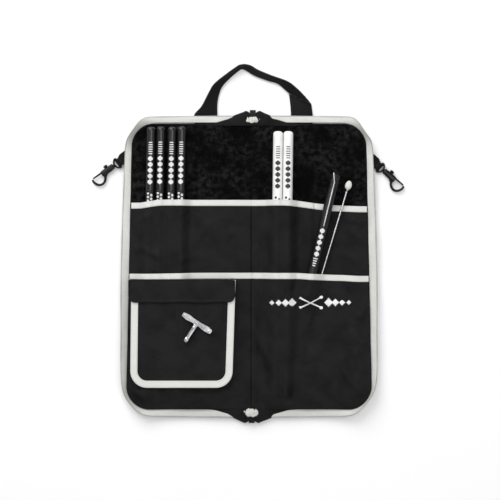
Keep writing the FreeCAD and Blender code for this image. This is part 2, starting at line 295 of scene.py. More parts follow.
def tube(name, grid, lengthways, round_it, materials):
    """Closed tube through a grid of rings, with filled ends. Its texture is laid out in metres."""
    rows, cols = grid.shape[:2]
    faces = grid_faces(rows, cols).tolist()
    for a in range(0, (rows - 1) * cols, cols):
        faces.append([a + cols - 1, a, a + cols, a + 2 * cols - 1])
    faces += [list(range(cols)), list(range((rows - 1) * cols, rows * cols))]
    uvs = np.stack(np.meshgrid(lengthways * MM, round_it * MM, indexing="ij"), -1).reshape(-1, 2)
    return make_piece(name, grid.reshape(-1, 3), faces, uvs, materials)


def sweep(name, path, side, up, profile, materials):
    """Carries a closed profile (stations x points x [side, up], or one for all) along a path."""
    path, side, up = (np.asarray(a, float) for a in (path, side, up))
    profile = np.asarray(profile, float)
    if profile.ndim == 2:
        profile = np.repeat(profile[None], len(path), 0)
    grid = path[:, None] + profile[..., :1] * side[:, None] + profile[..., 1:] * up[:, None]
    return tube(name, grid, run(path), run(profile[0]), materials)


def flat_profile(width, thickness, bow=0.0, round_points=3):
    """Rounded strip section, width along the side axis; bow lifts its middle."""
    half, r = width / 2, thickness / 2
    angles = np.linspace(-math.pi / 2, math.pi / 2, 2 * round_points + 1)
    right = np.stack([half - r + r * np.cos(angles), r * np.sin(angles)], 1)
    across = np.linspace(half - r, r - half, 8)[1:-1]
    top = np.stack([across, np.full(6, r)], 1)
    left = right[::-1] * [-1, 1]
    low = np.stack([-across, np.full(6, -r)], 1)
    shape = np.vstack([right, top, left, low])
    shape[:, 1] += bow * (1 - (shape[:, 0] / half) ** 2)
    return shape


def round_profile(radius, points=10):
    angles = np.linspace(0, 2 * math.pi, points, endpoint=False)
    return radius * np.stack([np.cos(angles), np.sin(angles)], 1)


def flat_frames(path, up=(0, 0, 1)):
    """Side and up directions for a path that lies about flat; side is to its right."""
    along = unit(np.gradient(np.asarray(path, float), axis=0))
    side = unit(np.cross(along, np.broadcast_to(up, along.shape)))
    return side, unit(np.cross(side, along))


def instances(name, verts, faces, origins, ways, sides, ups, materials):
    """Many copies of a small shape: its x goes along ways, y along sides, z along ups."""
    verts = np.asarray(verts, float)
    count = len(origins)
    placed = (origins[:, None] + verts[None, :, :1] * ways[:, None]
              + verts[None, :, 1:2] * sides[:, None] + verts[None, :, 2:] * ups[:, None])
    all_faces = []
    for face in faces:
        all_faces += (np.asarray(face)[None] + np.arange(count)[:, None] * len(verts)).tolist()
    return make_piece(name, placed.reshape(-1, 3), all_faces, materials=materials)


def bead_shape(length, width, height, sides=6):
    """Small rounded grain along x: a stitch, a zip tooth or an embroidery thread."""
    verts = [(-length / 2, 0, 0)]
    for x, size in ((-0.36, 0.75), (0.0, 1.0), (0.36, 0.75)):
        for k in range(sides):
            a = 2 * math.pi * k / sides
            verts.append((x * length, size * width / 2 * math.cos(a), size * height / 2 * math.sin(a)))
    verts.append((length / 2, 0, 0))
    faces = [[0, 1 + (k + 1) % sides, 1 + k] for k in range(sides)]
    for ring in range(2):
        base = 1 + ring * sides
        for k in range(sides):
            n = (k + 1) % sides
            faces.append([base + k, base + n, base + sides + n, base + sides + k])
    last = len(verts) - 1
    faces += [[last, last - sides + k, last - sides + (k + 1) % sides] for k in range(sides)]
    return verts, faces


def stitches(name, path, material, pitch=3.4):
    """A line of separate stitches along a path that lies on a surface."""
    path = np.asarray(path, float)
    length = np.sum(np.linalg.norm(np.diff(path, axis=0), axis=1))
    count = max(2, int(length / pitch))
    at = resample(path, count)
    way = unit(np.gradient(at, axis=0))
    ups = np.broadcast_to((0, 0, 1), way.shape)
    side = unit(np.cross(ups, way))
    verts, faces = bead_shape(*STITCH)
    return instances(name, verts, faces, at, way, side, np.cross(way, side), [material])


def lathe(name, stations, origin, way, materials, segments=32):
    """Turned piece: stations are (distance along, radius)."""
    way = unit(np.array(way, float))
    side = unit(np.cross(way, (0, 0, 1.0)))
    up = np.cross(side, way)
    angles = np.linspace(0, 2 * math.pi, segments, endpoint=False)
    ring = np.cos(angles)[:, None] * side + np.sin(angles)[:, None] * up
    stations = np.asarray(stations, float)
    centre = np.asarray(origin, float) + stations[:, :1] * way
    grid = centre[:, None] + stations[:, 1:2][:, None] * ring[None]
    return tube(name, grid, stations[:, 0], angles * stations[:, 1].max(), materials)


# ------------------------------------------------------------------ materials


class Shader:
    """A principled material with short calls for adding and linking nodes."""

    def __init__(self, name, roughness=0.7, **inputs):
        self.material = bpy.data.materials.new(name)
        self.material.use_nodes = True
        self.tree = self.material.node_tree
        self.bsdf = self.tree.nodes["Principled BSDF"]
        self.bsdf.inputs["Roughness"].default_value = roughness
        for key, value in inputs.items():
            self.bsdf.inputs[key.replace("_", " ")].default_value = value

    def node(self, kind, inputs=(), **settings):
        made = self.tree.nodes.new("ShaderNode" + kind)
        for key, value in settings.items():
            setattr(made, key, value)
        for key, value in dict(inputs).items():
            self.set(made.inputs[key], value)
        return made

    def set(self, socket, value):
        if isinstance(value, bpy.types.NodeSocket):
            self.tree.links.new(value, socket)
        else:
            socket.default_value = value

    def maths(self, operation, a, b=0.0, c=0.0):
        return self.node("Math", {0: a, 1: b, 2: c}, operation=operation).outputs[0]

    def noise(self, vector, scale, detail=3.0, rough=0.55):
        made = self.node("TexNoise", {"Vector": vector, "Scale": scale, "Detail": detail,
                                      "Roughness": rough})
        return made.outputs["Fac"]

    def uv(self):
        return self.node("UVMap", uv_map="UVMap").outputs["UV"]

    def place(self):
        return self.node("TexCoord").outputs["Object"]

    def mix(self, factor, dark, light):
        made = self.node("Mix", {"Factor": factor}, data_type="RGBA")
        self.set(made.inputs[6], (*dark, 1))
        self.set(made.inputs[7], (*light, 1))
        return made.outputs[2]

    def spread(self, value, low, high):
        made = self.node("MapRange", {"Value": value, "From Min": low, "From Max": high})
        return made.outputs["Result"]

    def bump(self, height, distance, strength=1.0, under=None):
        made = self.node("Bump", {"Height": height, "Distance": distance, "Strength": strength})
        if under is not None:
            self.tree.links.new(under, made.inputs["Normal"])
        return made.outputs["Normal"]

    def finish(self, colour=None, roughness=None, normal=None):
        for key, value in (("Base Color", colour), ("Roughness", roughness), ("Normal", normal)):
            if value is not None:
                self.set(self.bsdf.inputs[key], value)
        return self.material


def woven(name, dark, light, thread, pattern="plain", roughness=0.8, depth_mm=0.12, blotch=28.0,
          tone_and_painted_sheen=0.3, pucker=1.2, **inputs):
    """Woven cloth: thread is its pitch in millimetres along the mesh's own UVs."""
    s = Shader(name, roughness, **inputs)
    uv = s.uv()
    parts = s.node("SeparateXYZ", {"Vector": uv})
    turn = 2 * math.pi / (thread * MM)
    u = s.maths("MULTIPLY", parts.outputs["X"], turn)
    v = s.maths("MULTIPLY", parts.outputs["Y"], turn)
    if pattern == "plain":
        weave = s.maths("MULTIPLY", s.maths("SINE", u), s.maths("SINE", v))
    elif pattern == "twill":
        weave = s.maths("SINE", s.maths("ADD", u, v))
    elif pattern == "herringbone":
        leg = s.maths("PINGPONG", v, math.pi * 4)
        weave = s.maths("SINE", s.maths("ADD", u, leg))
    else:
        weave = s.maths("SINE", u)
    fibre = s.noise(uv, 2600.0, 2.0)
    slub = s.spread(s.noise(uv, 520.0, 3.0, 0.7), 0.3, 0.7)
    cloud = s.noise(uv, blotch, 4.0, 0.6)
    shade = s.maths("ADD", s.maths("MULTIPLY", weave, 0.16), s.maths("MULTIPLY", fibre, 0.2))
    shade = s.maths("ADD", shade, s.maths("MULTIPLY", slub, 0.35))
    # painted sheen: the cloud noise that raises the pucker bump also lightens the colour, so the puckers'
    # tops read as lit; the rest is random tone
    shade = s.maths("ADD", shade, s.maths("MULTIPLY", s.spread(cloud, 0.3, 0.7), tone_and_painted_sheen))
    height = s.maths("ADD", weave, s.maths("MULTIPLY", fibre, 0.8))
    normal = s.bump(height, depth_mm * MM, 0.7, under=s.bump(cloud, pucker * MM, 0.35))
    rough = s.spread(cloud, 0.0, 1.0)
    rough = s.maths("ADD", s.maths("MULTIPLY", rough, 0.15), roughness - 0.07)
    return s.finish(s.mix(shade, dark, light), rough, normal)


def plush_material(name, dark, light):
    s = Shader(name, 0.95, Sheen_Weight=0.02, Sheen_Roughness=0.4, Specular_IOR_Level=0.08)
    uv = s.uv()
    tuft = s.noise(uv, 900.0, 4.0, 0.7)
    lie = s.noise(uv, 130.0, 3.0, 0.6)
    cloud = s.noise(uv, 26.0, 3.0, 0.6)
    shade = s.maths("MULTIPLY", s.spread(tuft, 0.4, 0.62), s.spread(lie, 0.38, 0.66))
    shade = s.maths("MULTIPLY", shade, s.spread(cloud, 0.38, 0.62))
    normal = s.bump(tuft, 1.1 * MM, 0.9, under=s.bump(lie, 2.5 * MM, 0.7))
    return s.finish(s.mix(shade, dark, light), None, normal)


def hard(name, dark, light, roughness, scale=60.0, grain=900.0, depth_mm=0.02, **inputs):
    """Metal, lacquer, rubber or plastic: clouded colour, uneven roughness and a fine grain."""
    s = Shader(name, roughness, **inputs)
    place = s.place()
    cloud = s.noise(place, scale, 4.0)
    fine = s.noise(place, grain, 2.0)
    rough = s.maths("ADD", s.maths("MULTIPLY", cloud, 0.16), roughness - 0.08)
    return s.finish(s.mix(s.spread(cloud, 0.3, 0.7), dark, light), rough,
                    s.bump(fine, depth_mm * MM, 0.5))


DULL = {"Specular_IOR_Level": 0.13}
# the nylon and pocket cloth take the strongest painted sheen from the cloud blotches, on top of their random
# tone
nylon = woven("nylon_cloth", (0.0004, 0.0004, 0.0005), (0.0080, 0.0080, 0.0084), 0.9, depth_mm=0.16,
              roughness=0.60, tone_and_painted_sheen=1.0, pucker=6.0, **DULL)
inner_nylon = woven("pocket_cloth", (0.0004, 0.0004, 0.0005), (0.0095, 0.0095, 0.0099), 0.8, depth_mm=0.14,
                    roughness=0.56, tone_and_painted_sheen=1.05, pucker=6.0, **DULL)
plush = plush_material("plush_pile", (0.0003, 0.0003, 0.0004), (0.032, 0.032, 0.034))
tape_cloth = woven("zip_tape_cloth", (0.51, 0.51, 0.485), (0.67, 0.67, 0.64), 1.3, "herringbone",
                   blotch=60.0, roughness=0.8)
binding_cloth = woven("binding_cloth", (0.60, 0.60, 0.575), (0.74, 0.74, 0.71), 1.0, "rib",
                      blotch=50.0, roughness=0.75)
coil_plastic = hard("coil_plastic", (0.30, 0.30, 0.285), (0.42, 0.42, 0.40), 0.4)
thread_grey = hard("pale_thread", (0.36, 0.36, 0.34), (0.50, 0.50, 0.48), 0.6)
thread_black = hard("black_thread", (0.003, 0.003, 0.003), (0.012, 0.012, 0.012), 0.5)
thread_white = hard("white_thread", (0.75, 0.75, 0.75), (0.90, 0.90, 0.90), 0.5)
webbing = woven("webbing_twill", (0.002, 0.002, 0.002), (0.0135, 0.0135, 0.0135), 1.7, "twill",
                depth_mm=0.35, roughness=0.6, **DULL)
gunmetal = hard("gunmetal", (0.012, 0.012, 0.013), (0.034, 0.034, 0.036), 0.30, Metallic=1.0)
black_metal = hard("black_metal", (0.004, 0.004, 0.004), (0.012, 0.012, 0.013), 0.42, Metallic=0.8)
spring_steel = hard("spring_steel", (0.35, 0.35, 0.36), (0.55, 0.55, 0.56), 0.3, Metallic=1.0)
chrome = hard("polished_chrome", (0.50, 0.50, 0.52), (0.72, 0.72, 0.74), 0.16, Metallic=1.0)
steel = hard("brushed_steel", (0.42, 0.42, 0.43), (0.62, 0.62, 0.63), 0.26, Metallic=1.0)
dark_lacquer = hard("dark_lacquer", (0.003, 0.003, 0.0035), (0.009, 0.009, 0.010), 0.28,
                    Specular_IOR_Level=0.35, Coat_Weight=0.25, Coat_Roughness=0.1)
dark_ink = hard("grey_mark", (0.55, 0.55, 0.56), (0.72, 0.72, 0.73), 0.4)
light_lacquer = hard("light_lacquer", (0.72, 0.72, 0.71), (0.84, 0.84, 0.83), 0.3,
                     Coat_Weight=0.4, Coat_Roughness=0.12)
black_ink = hard("black_mark", (0.008, 0.008, 0.008), (0.018, 0.018, 0.018), 0.4)
rubber = hard("rubber_grip", (0.003, 0.003, 0.003), (0.008, 0.008, 0.008), 0.34, depth_mm=0.05,
              Specular_IOR_Level=0.35)
felt = hard("pale_felt", (0.62, 0.61, 0.58), (0.80, 0.79, 0.76), 0.9, grain=1800.0, depth_mm=0.5,
            Sheen_Weight=0.4)

# ------------------------------------------------------------------ how pieces are attached


def on_body(piece, body, slot, *nodes):
    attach(piece, body)
    if nodes:
        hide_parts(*nodes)
    return piece


def across_hinge(piece, side, slot, *nodes):
    """The piece's placement is baked into its mesh, and the CAD parts that it replaces are hidden."""
    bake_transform(piece)
    if nodes:
        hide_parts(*nodes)
    return piece


# ------------------------------------------------------------------ what lies in the pockets

joint_axis = {j["child"]: np.array(j["axis"]) for j in frame["joints"] if j["type"] == "slide"}


def axis_of(node, body):
    """(butt centre, direction, radius) of a straight round piece, from its box and its slide."""
    low, high = box(node)
    way = unit(joint_axis[body])
    radius = (high[2] - low[2]) / 2
    butt = np.array([high[0] + radius * way[1], high[1] + radius * way[0], (low[2] + high[2]) / 2])
    return butt, way, radius


sticks = {}
for name in ["dark_stick_%d" % n for n in (1, 2, 3, 4)] + ["light_stick_1", "light_stick_2"]:
    sticks[name] = axis_of(name, name)
STICK_LENGTH = 406.0
TAPER_START = 301
NECK = 398                   # where the taper meets the tip
NECK_RADIUS = 2.9
TIP_RADIUS = 4.7


def stick_radius(s, radius):
    """Radius of a stick at a distance s from its butt."""
    taper = np.interp(s, [0, TAPER_START, NECK], [radius, radius, NECK_RADIUS])
    bead = np.sqrt(np.maximum(TIP_RADIUS**2 - (s - (STICK_LENGTH - TIP_RADIUS)) ** 2, 0))
    return np.where(s > NECK - 2, np.maximum(bead, np.where(s < NECK, taper, 0)), taper)


brush_butt, brush_way, brush_radius = axis_of("brush_handle", "brush")
BRUSH_LENGTH = 190.0
beater_low, beater_high = box("beater_rod")
beater_way = unit(joint_axis["beater"])
beater_radius = (beater_high[2] - beater_low[2]) / 2
BEATER_LENGTH = 238.0
head_low, head_high = box("beater_head")
beater_top = (head_low + head_high) / 2

# ------------------------------------------------------------------ height of each layer of cloth

CELL = 2.0
GX = np.arange(-206.0, 207.0, CELL)
GY = np.arange(-232.0, 233.0, CELL)
FX, FY = np.meshgrid(GX, GY)


def sample(field, x, y):
    """The height of a field at any points."""
    fx = np.clip((np.asarray(x, float) - GX[0]) / CELL, 0, len(GX) - 1.001)
    fy = np.clip((np.asarray(y, float) - GY[0]) / CELL, 0, len(GY) - 1.001)
    i, j = fy.astype(int), fx.astype(int)
    a, b = fy - i, fx - j
    return ((field[i, j] * (1 - b) + field[i, j + 1] * b) * (1 - a)
            + (field[i + 1, j] * (1 - b) + field[i + 1, j + 1] * b) * a)


def rod_tops(butt, way, length, radius_at):
    """Upper surface of a round rod, and 0 where it isn't."""
    rx, ry = FX - butt[0], FY - butt[1]
    s = rx * way[0] + ry * way[1]
    d = rx * way[1] - ry * way[0]
    r = np.where((s > 0) & (s < length), radius_at(s), 0)
    return np.where(np.abs(d) < r, butt[2] + np.sqrt(np.maximum(r**2 - d**2, 0)), 0)


def tent(field, slope, cells=30):
    """Cloth stretched over high places: no steeper than the slope."""
    for _ in range(cells):
        pad = np.pad(field, 1, mode="edge")
        for di in (0, 1, 2):
            for dj in (0, 1, 2):
                step = CELL * math.hypot(di - 1, dj - 1)
                near = pad[di:di + field.shape[0], dj:dj + field.shape[1]]
                field = np.maximum(field, near - slope * step)
    return field


def blur(field, passes):
    for _ in range(passes):
        pad = np.pad(field, 1, mode="edge")
        field = (pad[1:-1, 1:-1] * 4 + pad[:-2, 1:-1] + pad[2:, 1:-1] + pad[1:-1, :-2]
                 + pad[1:-1, 2:]) / 8
    return field


def layer(below, contents, loft, slope, seed, wave, gap):
    """Height of a panel: clear of what is below, tented over its contents, sewn down at the rim."""
    inside = depth(FX, FY, RIM)
    free = smooth(inside, 0, 26) * smooth(np.abs(FX - SEAM_X), 1, 30)
    base = below + gap + loft * free
    raised = np.maximum(base, np.where(contents > 0, contents + gap, 0))
    raised = blur(tent(raised, slope), 5)
    raised = np.maximum(raised, np.where(contents > 0, contents + gap * 0.8, 0))
    raised = raised + wave * free * (1 + ripple(FX, FY, seed))
    limit = below + gap + np.minimum(0.85 * np.maximum(inside, 0), 1.1 * np.abs(FX - SEAM_X))
    return blur(np.maximum(np.minimum(raised, limit), below + gap), 2)


lining_field = LINING_TOP - 0.45 - 0.35 * (1 - smooth(depth(FX, FY, RIM), 0, 10))
lining_field = lining_field + 0.22 * ripple(FX, FY, 3, 40.0)
lining_field = lining_field - 1.0 * np.exp(-((FX - SEAM_X) / 3.0) ** 2)

stick_tops = np.zeros_like(FX)
for butt, way, radius in sticks.values():
    tops = rod_tops(butt, way, STICK_LENGTH, lambda s, r=radius: stick_radius(s, r))
    stick_tops = np.maximum(stick_tops, tops)
long_field = layer(lining_field, stick_tops, 2.2, 1.0, 11, 0.55, 1.0)
DIVIDER_X = 99.9
divider = np.exp(-((FX - DIVIDER_X) / 2.5) ** 2)
long_field = np.maximum(long_field - 2.5 * divider, lining_field + 1.0)

tool_tops = rod_tops(brush_butt, brush_way, BRUSH_LENGTH, lambda s: np.full_like(s, brush_radius))
beater_tops = rod_tops(beater_top, beater_way, BEATER_LENGTH, lambda s: np.full_like(s, beater_radius))
tool_tops = np.maximum(tool_tops, beater_tops)
short_field = layer(long_field, tool_tops, 2.0, 0.8, 23, 0.7, 1.25)


FOLD_WIDTH = 0.8             # shares of the sizes in the lists below
FOLD_HEIGHT = 1.7


def fold_field(folds):
    """Soft ridges in the cloth: each (x0, y0, x1, y1, half width, height), fading out at its ends."""
    total = np.zeros_like(FX)
    for x0, y0, x1, y1, width, height in folds:
        dx, dy = x1 - x0, y1 - y0
        length = math.hypot(dx, dy)
        t = ((FX - x0) * dx + (FY - y0) * dy) / length**2
        bow = 0.10 * length * np.sin(np.clip(t, 0, 1) * math.pi)
        d = ((FX - x0) * dy - (FY - y0) * dx) / length + bow
        ends = smooth(t, -0.05, 0.3) * (1 - smooth(t, 0.7, 1.05))
        total += FOLD_HEIGHT * height * np.exp(-((d / (FOLD_WIDTH * width)) ** 2)) * ends
    return total


long_folds = [(-181, 30, -128, 8, 6, 2.2), (-176, 12, -150, 42, 5, 1.8), (-181, 62, -140, 76, 7, 1.4),
              (-88, 20, -52, 72, 9, 1.5), (-46, 12, -20, 60, 8, 1.6), (-110, 4, -60, 16, 8, 1.2),
              (24, 10, 32, 78, 7, 1.6), (140, 60, 178, 34, 7, 1.8), (128, 20, 172, 4, 8, 2.0),
              (150, 70, 176, 62, 5, 1.4)]
short_folds = [(184, -196, 140, -150, 8, 2.6), (186, -170, 158, -120, 7, 2.2),
               (150, -212, 128, -170, 8, 2.2), (110, -212, 92, -186, 7, 2.0),
               (70, -212, 52, -178, 8, 2.0), (186, -120, 150, -92, 8, 1.8),
               (182, -60, 160, -80, 7, 1.6), (30, -150, 22, -60, 8, 1.6),
               (120, -120, 60, -140, 12, 1.2), (-184, -190, -150, -204, 6, 2.0),
               (-150, -212, -118, -196, 7, 2.2), (-100, -211, -66, -194, 7, 2.0),
               (-56, -212, -30, -190, 8, 2.2), (-20, -180, -14, -90, 6, 1.6)]
valley = 1.8 * np.exp(-(((FX - 8.0) / 4.5) ** 2)) * smooth(FX, SEAM_X, SEAM_X + 2)
long_field = np.maximum(long_field - valley + fold_field(long_folds) * smooth(depth(FX, FY, RIM), 1, 12),
                        lining_field + 1.0)
short_field = np.maximum(short_field, long_field + 1.25)
short_field = short_field - 0.8 * valley + fold_field(short_folds) * smooth(depth(FX, FY, RIM), 1, 12)


def long_mouth(x):
    """Middle of the long pockets' binding."""
    return 96.85 - 4.2 * smooth(-x, 130, 168) - 8.4 * smooth(x, 50, 138) - 1.3 * smooth(x, 130, 172)


def short_mouth(x):
    return -14.1 - 1.5 * smooth(-x, 60, 180) - 3.2 * smooth(x, 60, 140) - 1.6 * smooth(x, 135, 172)


# ------------------------------------------------------------------ padded shells and lining


def window(x, y, low, high, soft):
    """1 inside the box from low to high, falling to 0 over the soft distance outside it."""
    return (smooth(x, low[0] - soft, low[0]) * (1 - smooth(x, high[0], high[0] + soft))
            * smooth(y, low[1] - soft, low[1]) * (1 - smooth(y, high[1], high[1] + soft)))


def bare(side, mouth, x, y):
    """1 where a panel lies bare, 0 where something is sewn to it or lies on it."""
    free = smooth(np.abs(x - SEAM_X), 6, 16) * smooth(np.abs(x - DIVIDER_X), 6, 16)
    if mouth is long_mouth:
        return free * smooth(y - short_mouth(x), 5, 17)
    on_top = "accessory_pocket" if side == "left" else "right_motif"
    low, high = box(on_top)
    top = high[1] + (60 if side == "left" else 3)
    return free * (1 - window(x, y, (low[0] - 5, low[1] - 5), (high[0] + 8, top), 10))


def simulated(grid, free, slack, rise, sink, frames=14):
    """The panel as cloth with a little slack, pinned at its edges: it buckles into small wrinkles.
    Only its heights are kept, where it lies bare and away from its edges, and it hardly sinks, so
    that it stays clear of what is in the pocket."""
    rows, cols = grid.shape[:2]
    cloth = make_piece("cloth_work", grid.reshape(-1, 3), grid_faces(rows, cols))
    pins = cloth.vertex_groups.new(name="pins")
    pins.add(border(rows, cols).tolist(), 1.0, "REPLACE")
    setup = cloth.modifiers.new("cloth", "CLOTH")
    setup.settings.vertex_group_mass = "pins"
    setup.settings.quality = 4
    setup.settings.mass = 0.12
    setup.settings.tension_stiffness = 12
    setup.settings.compression_stiffness = 12
    setup.settings.shear_stiffness = 6
    setup.settings.bending_stiffness = 0.2
    setup.settings.shrink_min = -slack
    setup.settings.effector_weights.gravity = 0.15
    setup.point_cache.frame_end = frames
    scene = bpy.context.scene
    for number in range(1, frames + 1):
        scene.frame_set(number)
    shape = cloth.evaluated_get(bpy.context.evaluated_depsgraph_get()).to_mesh()
    moved = np.zeros(rows * cols * 3)
    shape.vertices.foreach_get("co", moved)
    moved = moved.reshape(grid.shape) / MM
    bpy.data.objects.remove(cloth)
    scene.frame_set(1)
    row, col = np.indices((rows, cols))
    edge = np.minimum(np.minimum(row, rows - 1 - row), np.minimum(col, cols - 1 - col))
    new = grid.copy()
    new[..., 2] += np.clip(moved[..., 2] - grid[..., 2], -sink, rise) * free * smooth(edge, 3, 7)
    return new


def with_height(plan, height):
    return np.concatenate([plan, height[..., None]], -1)


def padded_shell(side):
    """Cover's outer nylon over foam, with a bulging wall below the zip; half the spine goes with it."""
    plan = cover_plan(side, RIM + 3.0, 7.0)
    rows, cols = plan.shape[:2]
    x, y = plan[..., 0], plan[..., 1]
    inside = depth(x, y, RIM + 3.0)
    low = 0.25 + 0.25 * ripple(x, y, 5, 60.0) + 1.2 * (1 - smooth(inside, 0, 9))
    bottom = with_height(plan, np.maximum(low, 0.02))
    top = with_height(plan, np.full_like(x, LINING_TOP - 1.9))
    edge = border(rows, cols)
    flat = plan.reshape(-1, 2)[edge]
    wider = cover_plan(side, RIM - 0.6, 7.0).reshape(-1, 2)[edge]
    rings = []
    for z, out in ((LINING_TOP - 1.6, 0.75), (5.6, 0.98), (3.6, 1.0), (1.9, 0.85), (0.9, 0.5)):
        ring = flat + (wider - flat) * out
        rings.append(np.column_stack([ring, np.full(len(ring), z)]))
    return slab(side + "_padded_shell", top, bottom, [nylon], rings)


for side in ("left", "right"):
    shell = padded_shell(side)
    nodes = [side + "_outer_panel", side + "_foam", side + "_gusset"]
    if side == "left":
        nodes.append("spine_outer_panel")
    across_hinge(shell, side, "nylon", *nodes)

    plan = cover_plan(side, RIM + 0.4, 2.6)
    height = sample(lining_field, plan[..., 0], plan[..., 1])
    pile = 0.28 * ripple(plan[..., 0], plan[..., 1], 31, 16.0, 6)
    lining = cloth_slab(side + "_plush_lining", with_height(plan, height + pile), [plush], 1.3)
    nodes = [side + "_lining"] + (["spine_lining"] if side == "left" else [])
    across_hinge(lining, side, "plush", *nodes)

# ------------------------------------------------------------------ pocket panels and their bindings


def pocket_panel(name, side, field, mouth, node):
    plan = cover_plan(side, RIM + 0.4, 3.0, mouth)
    grid = with_height(plan, sample(field, plan[..., 0], plan[..., 1]))
    grid = simulated(grid, bare(side, mouth, plan[..., 0], plan[..., 1]), 0.05, 1.8, 0.2)
    panel = cloth_slab(name, grid, [inner_nylon])
    return across_hinge(panel, side, "nylon", node)


def mouth_line(side, field, mouth, offset, lift):
    """Points along a pocket's mouth, offset towards the handle, on the panel's surface."""
    sign = sign_of(side)
    start = seam_u(side)
    us = np.linspace(start, 187.0, 150)
    y = mouth(sign * us) + offset
    keep = depth(us, y, RIM + 1.0) > 0
    x = sign * us[keep]
    y = y[keep]
    return np.column_stack([x, y, sample(field, x, mouth(x)) + lift])


def pocket_binding(name, side, field, mouth, node):
    path = mouth_line(side, field, mouth, 0.0, 0.0)
    slope = (sample(field, path[:, 0], path[:, 1]) - sample(field, path[:, 0], path[:, 1] - 6)) / 6
    across = unit(np.column_stack([np.zeros(len(path)), np.ones(len(path)), np.clip(slope, -0.4, 0.4)]))
    along = unit(np.gradient(path, axis=0))
    up = unit(np.cross(along, across))
    up = up * np.where(up[:, 2:] < 0, -1, 1)
    binding = sweep(name, path, across, up, flat_profile(TRIM_WIDTH, 2.0, 0.15), [binding_cloth])
    across_hinge(binding, side, "grey_binding", node)
    for number, offset in enumerate((-TRIM_WIDTH / 2 + 1.2, TRIM_WIDTH / 2 - 1.2)):
        line = path + across * offset + up * 1.0
        seam = stitches("%s_stitch_%d" % (name, number + 1), line, thread_grey)
        across_hinge(seam, side, "grey_binding")


for side in ("left", "right"):
    for row, field, mouth, flat in (("_long_pocket", long_field, long_mouth, (0.19, 0.32)),
                                    ("_short_pocket", short_field, short_mouth, (0.19, 0.21))):
        pocket = side + row
        pocket_panel(pocket + "_panel", side, field, mouth, pocket)
        pocket_binding(pocket + "_binding", side, field, mouth, pocket + "_trim")

# ------------------------------------------------------------------ zip round the rim


def end_share(u, y):
    """1 on the straight stretches at the two ends of a cover, 0 on its side."""
    return smooth(np.abs(y), 203, 220) * (1 - smooth(u, 140, 175))


def tilt_of(path):
    """How far the tape stands up, in degrees: most at the corners, where a straight tape can't lie
    flat, and a little down at the ends, so that sticks slide out over it."""
    u, y = np.abs(path[:, 0]), path[:, 1]
    right = path[0, 0] > 0
    corner = np.exp(-(((u - 184) / 27) ** 2 + ((y - 210) / 30) ** 2) ** 1.2)
    corner += np.exp(-(((u - 188) / 42) ** 2 + ((y + 212) / 34) ** 2) ** 1.2)
    side = smooth(-y, -60, 170) * smooth(u, 170, 185)
    steep = 88 if right else 74
    lying = 7 - 13 * end_share(u, y) + 24 * side
    wave = 4 * np.sin(path[:, 1] / 17.0) * (1 - end_share(u, y))
    return lying + (steep - lying) * np.clip(corner, 0, 1) + wave


def rim_start(side):
    return 33.0 if side == "right" else 25.0


def zip_rim(side):
    sign = sign_of(side)
    inner = whole_outline(RIM, rim_start(side), 420)
    outer = whole_outline(0.0, rim_start(side), 420)
    out = unit(np.column_stack([outer - inner, np.zeros(len(inner))]))
    tuck = 8.0 * (1 - smooth(inner[:, 0], rim_start(side), rim_start(side) + 38))
    tuck = np.maximum(tuck, 2.6 * end_share(inner[:, 0], inner[:, 1]) * (inner[:, 1] > 0))
    inner = inner + out[:, :2] * tuck[:, None]
    path = np.column_stack([inner, np.full(len(inner), LINING_TOP - 1.1)])
    tilt = np.radians(tilt_of(path * [sign, 1, 1]))[:, None]
    way = out * np.cos(tilt) + UP * np.sin(tilt)
    face = UP * np.cos(tilt) - out * np.sin(tilt)
    wave = 0.5 * np.sin(np.linspace(0, 60, len(path)))[:, None] * UP
    for a in (path, way, face):
        a[:, 0] *= sign
    tape_width = (RIM - COIL + 1.6 - tuck)[:, None]
    tape_middle = path + way * (tape_width / 2 - 0.8) + wave * 0.5
    profile = np.array([flat_profile(w, 1.1, 0.25) for w in tape_width[:, 0]])
    tape = sweep(side + "_zip_tape_strip", tape_middle, way, face, profile, [tape_cloth])
    across_hinge(tape, side, "grey_binding", side + "_zip_tape")
    length = np.sum(np.linalg.norm(np.diff(path, axis=0), axis=1))
    count = int(length / 1.5)
    coil_line = path + way * (RIM - COIL / 2 - 0.3 - tuck[:, None]) + wave
    cord = sweep(side + "_zip_cord", coil_line, way, face, round_profile(0.75), [coil_plastic])
    across_hinge(cord, side, "zip_coil", side + "_zip_coil")
    at = resample(np.hstack([coil_line, way, face]), count)
    ways, faces_up = unit(at[:, 3:6]), unit(at[:, 6:9])
    verts, faces = bead_shape(2.7, 0.95, 1.9)
    teeth = instances(side + "_zip_teeth", verts, faces, at[:, :3], ways, np.cross(faces_up, ways),
                      faces_up, [coil_plastic])
    across_hinge(teeth, side, "zip_coil")
    for number, offset in enumerate((1.6, 3.4)):
        seam = stitches("%s_zip_tape_stitch_%d" % (side, number + 1), path + way * offset + face * 0.62,
                        thread_grey)
        across_hinge(seam, side, "grey_binding")
    for name, inset, height, radius in (("_rim_piping", 1.2, LINING_TOP - 1.2, 1.5),
                                        ("_base_piping", 2.0, 1.35, 1.3)):
        line = np.column_stack([whole_outline(RIM + inset, seam_u(side), 300), np.full(300, height)])
        line[:, 0] *= sign
        side_way, side_up = flat_frames(line)
        piping = sweep(side + name, line, side_way, side_up, round_profile(radius), [nylon])
        across_hinge(piping, side, "nylon")


zip_rim("left")
zip_rim("right")

# ------------------------------------------------------------------ accessory pocket and its flap

pocket_low, pocket_high = box("accessory_pocket")
POCKET_TOP = pocket_high[2]
BORDER = 10.7
POCKET_CORNER = 21.0


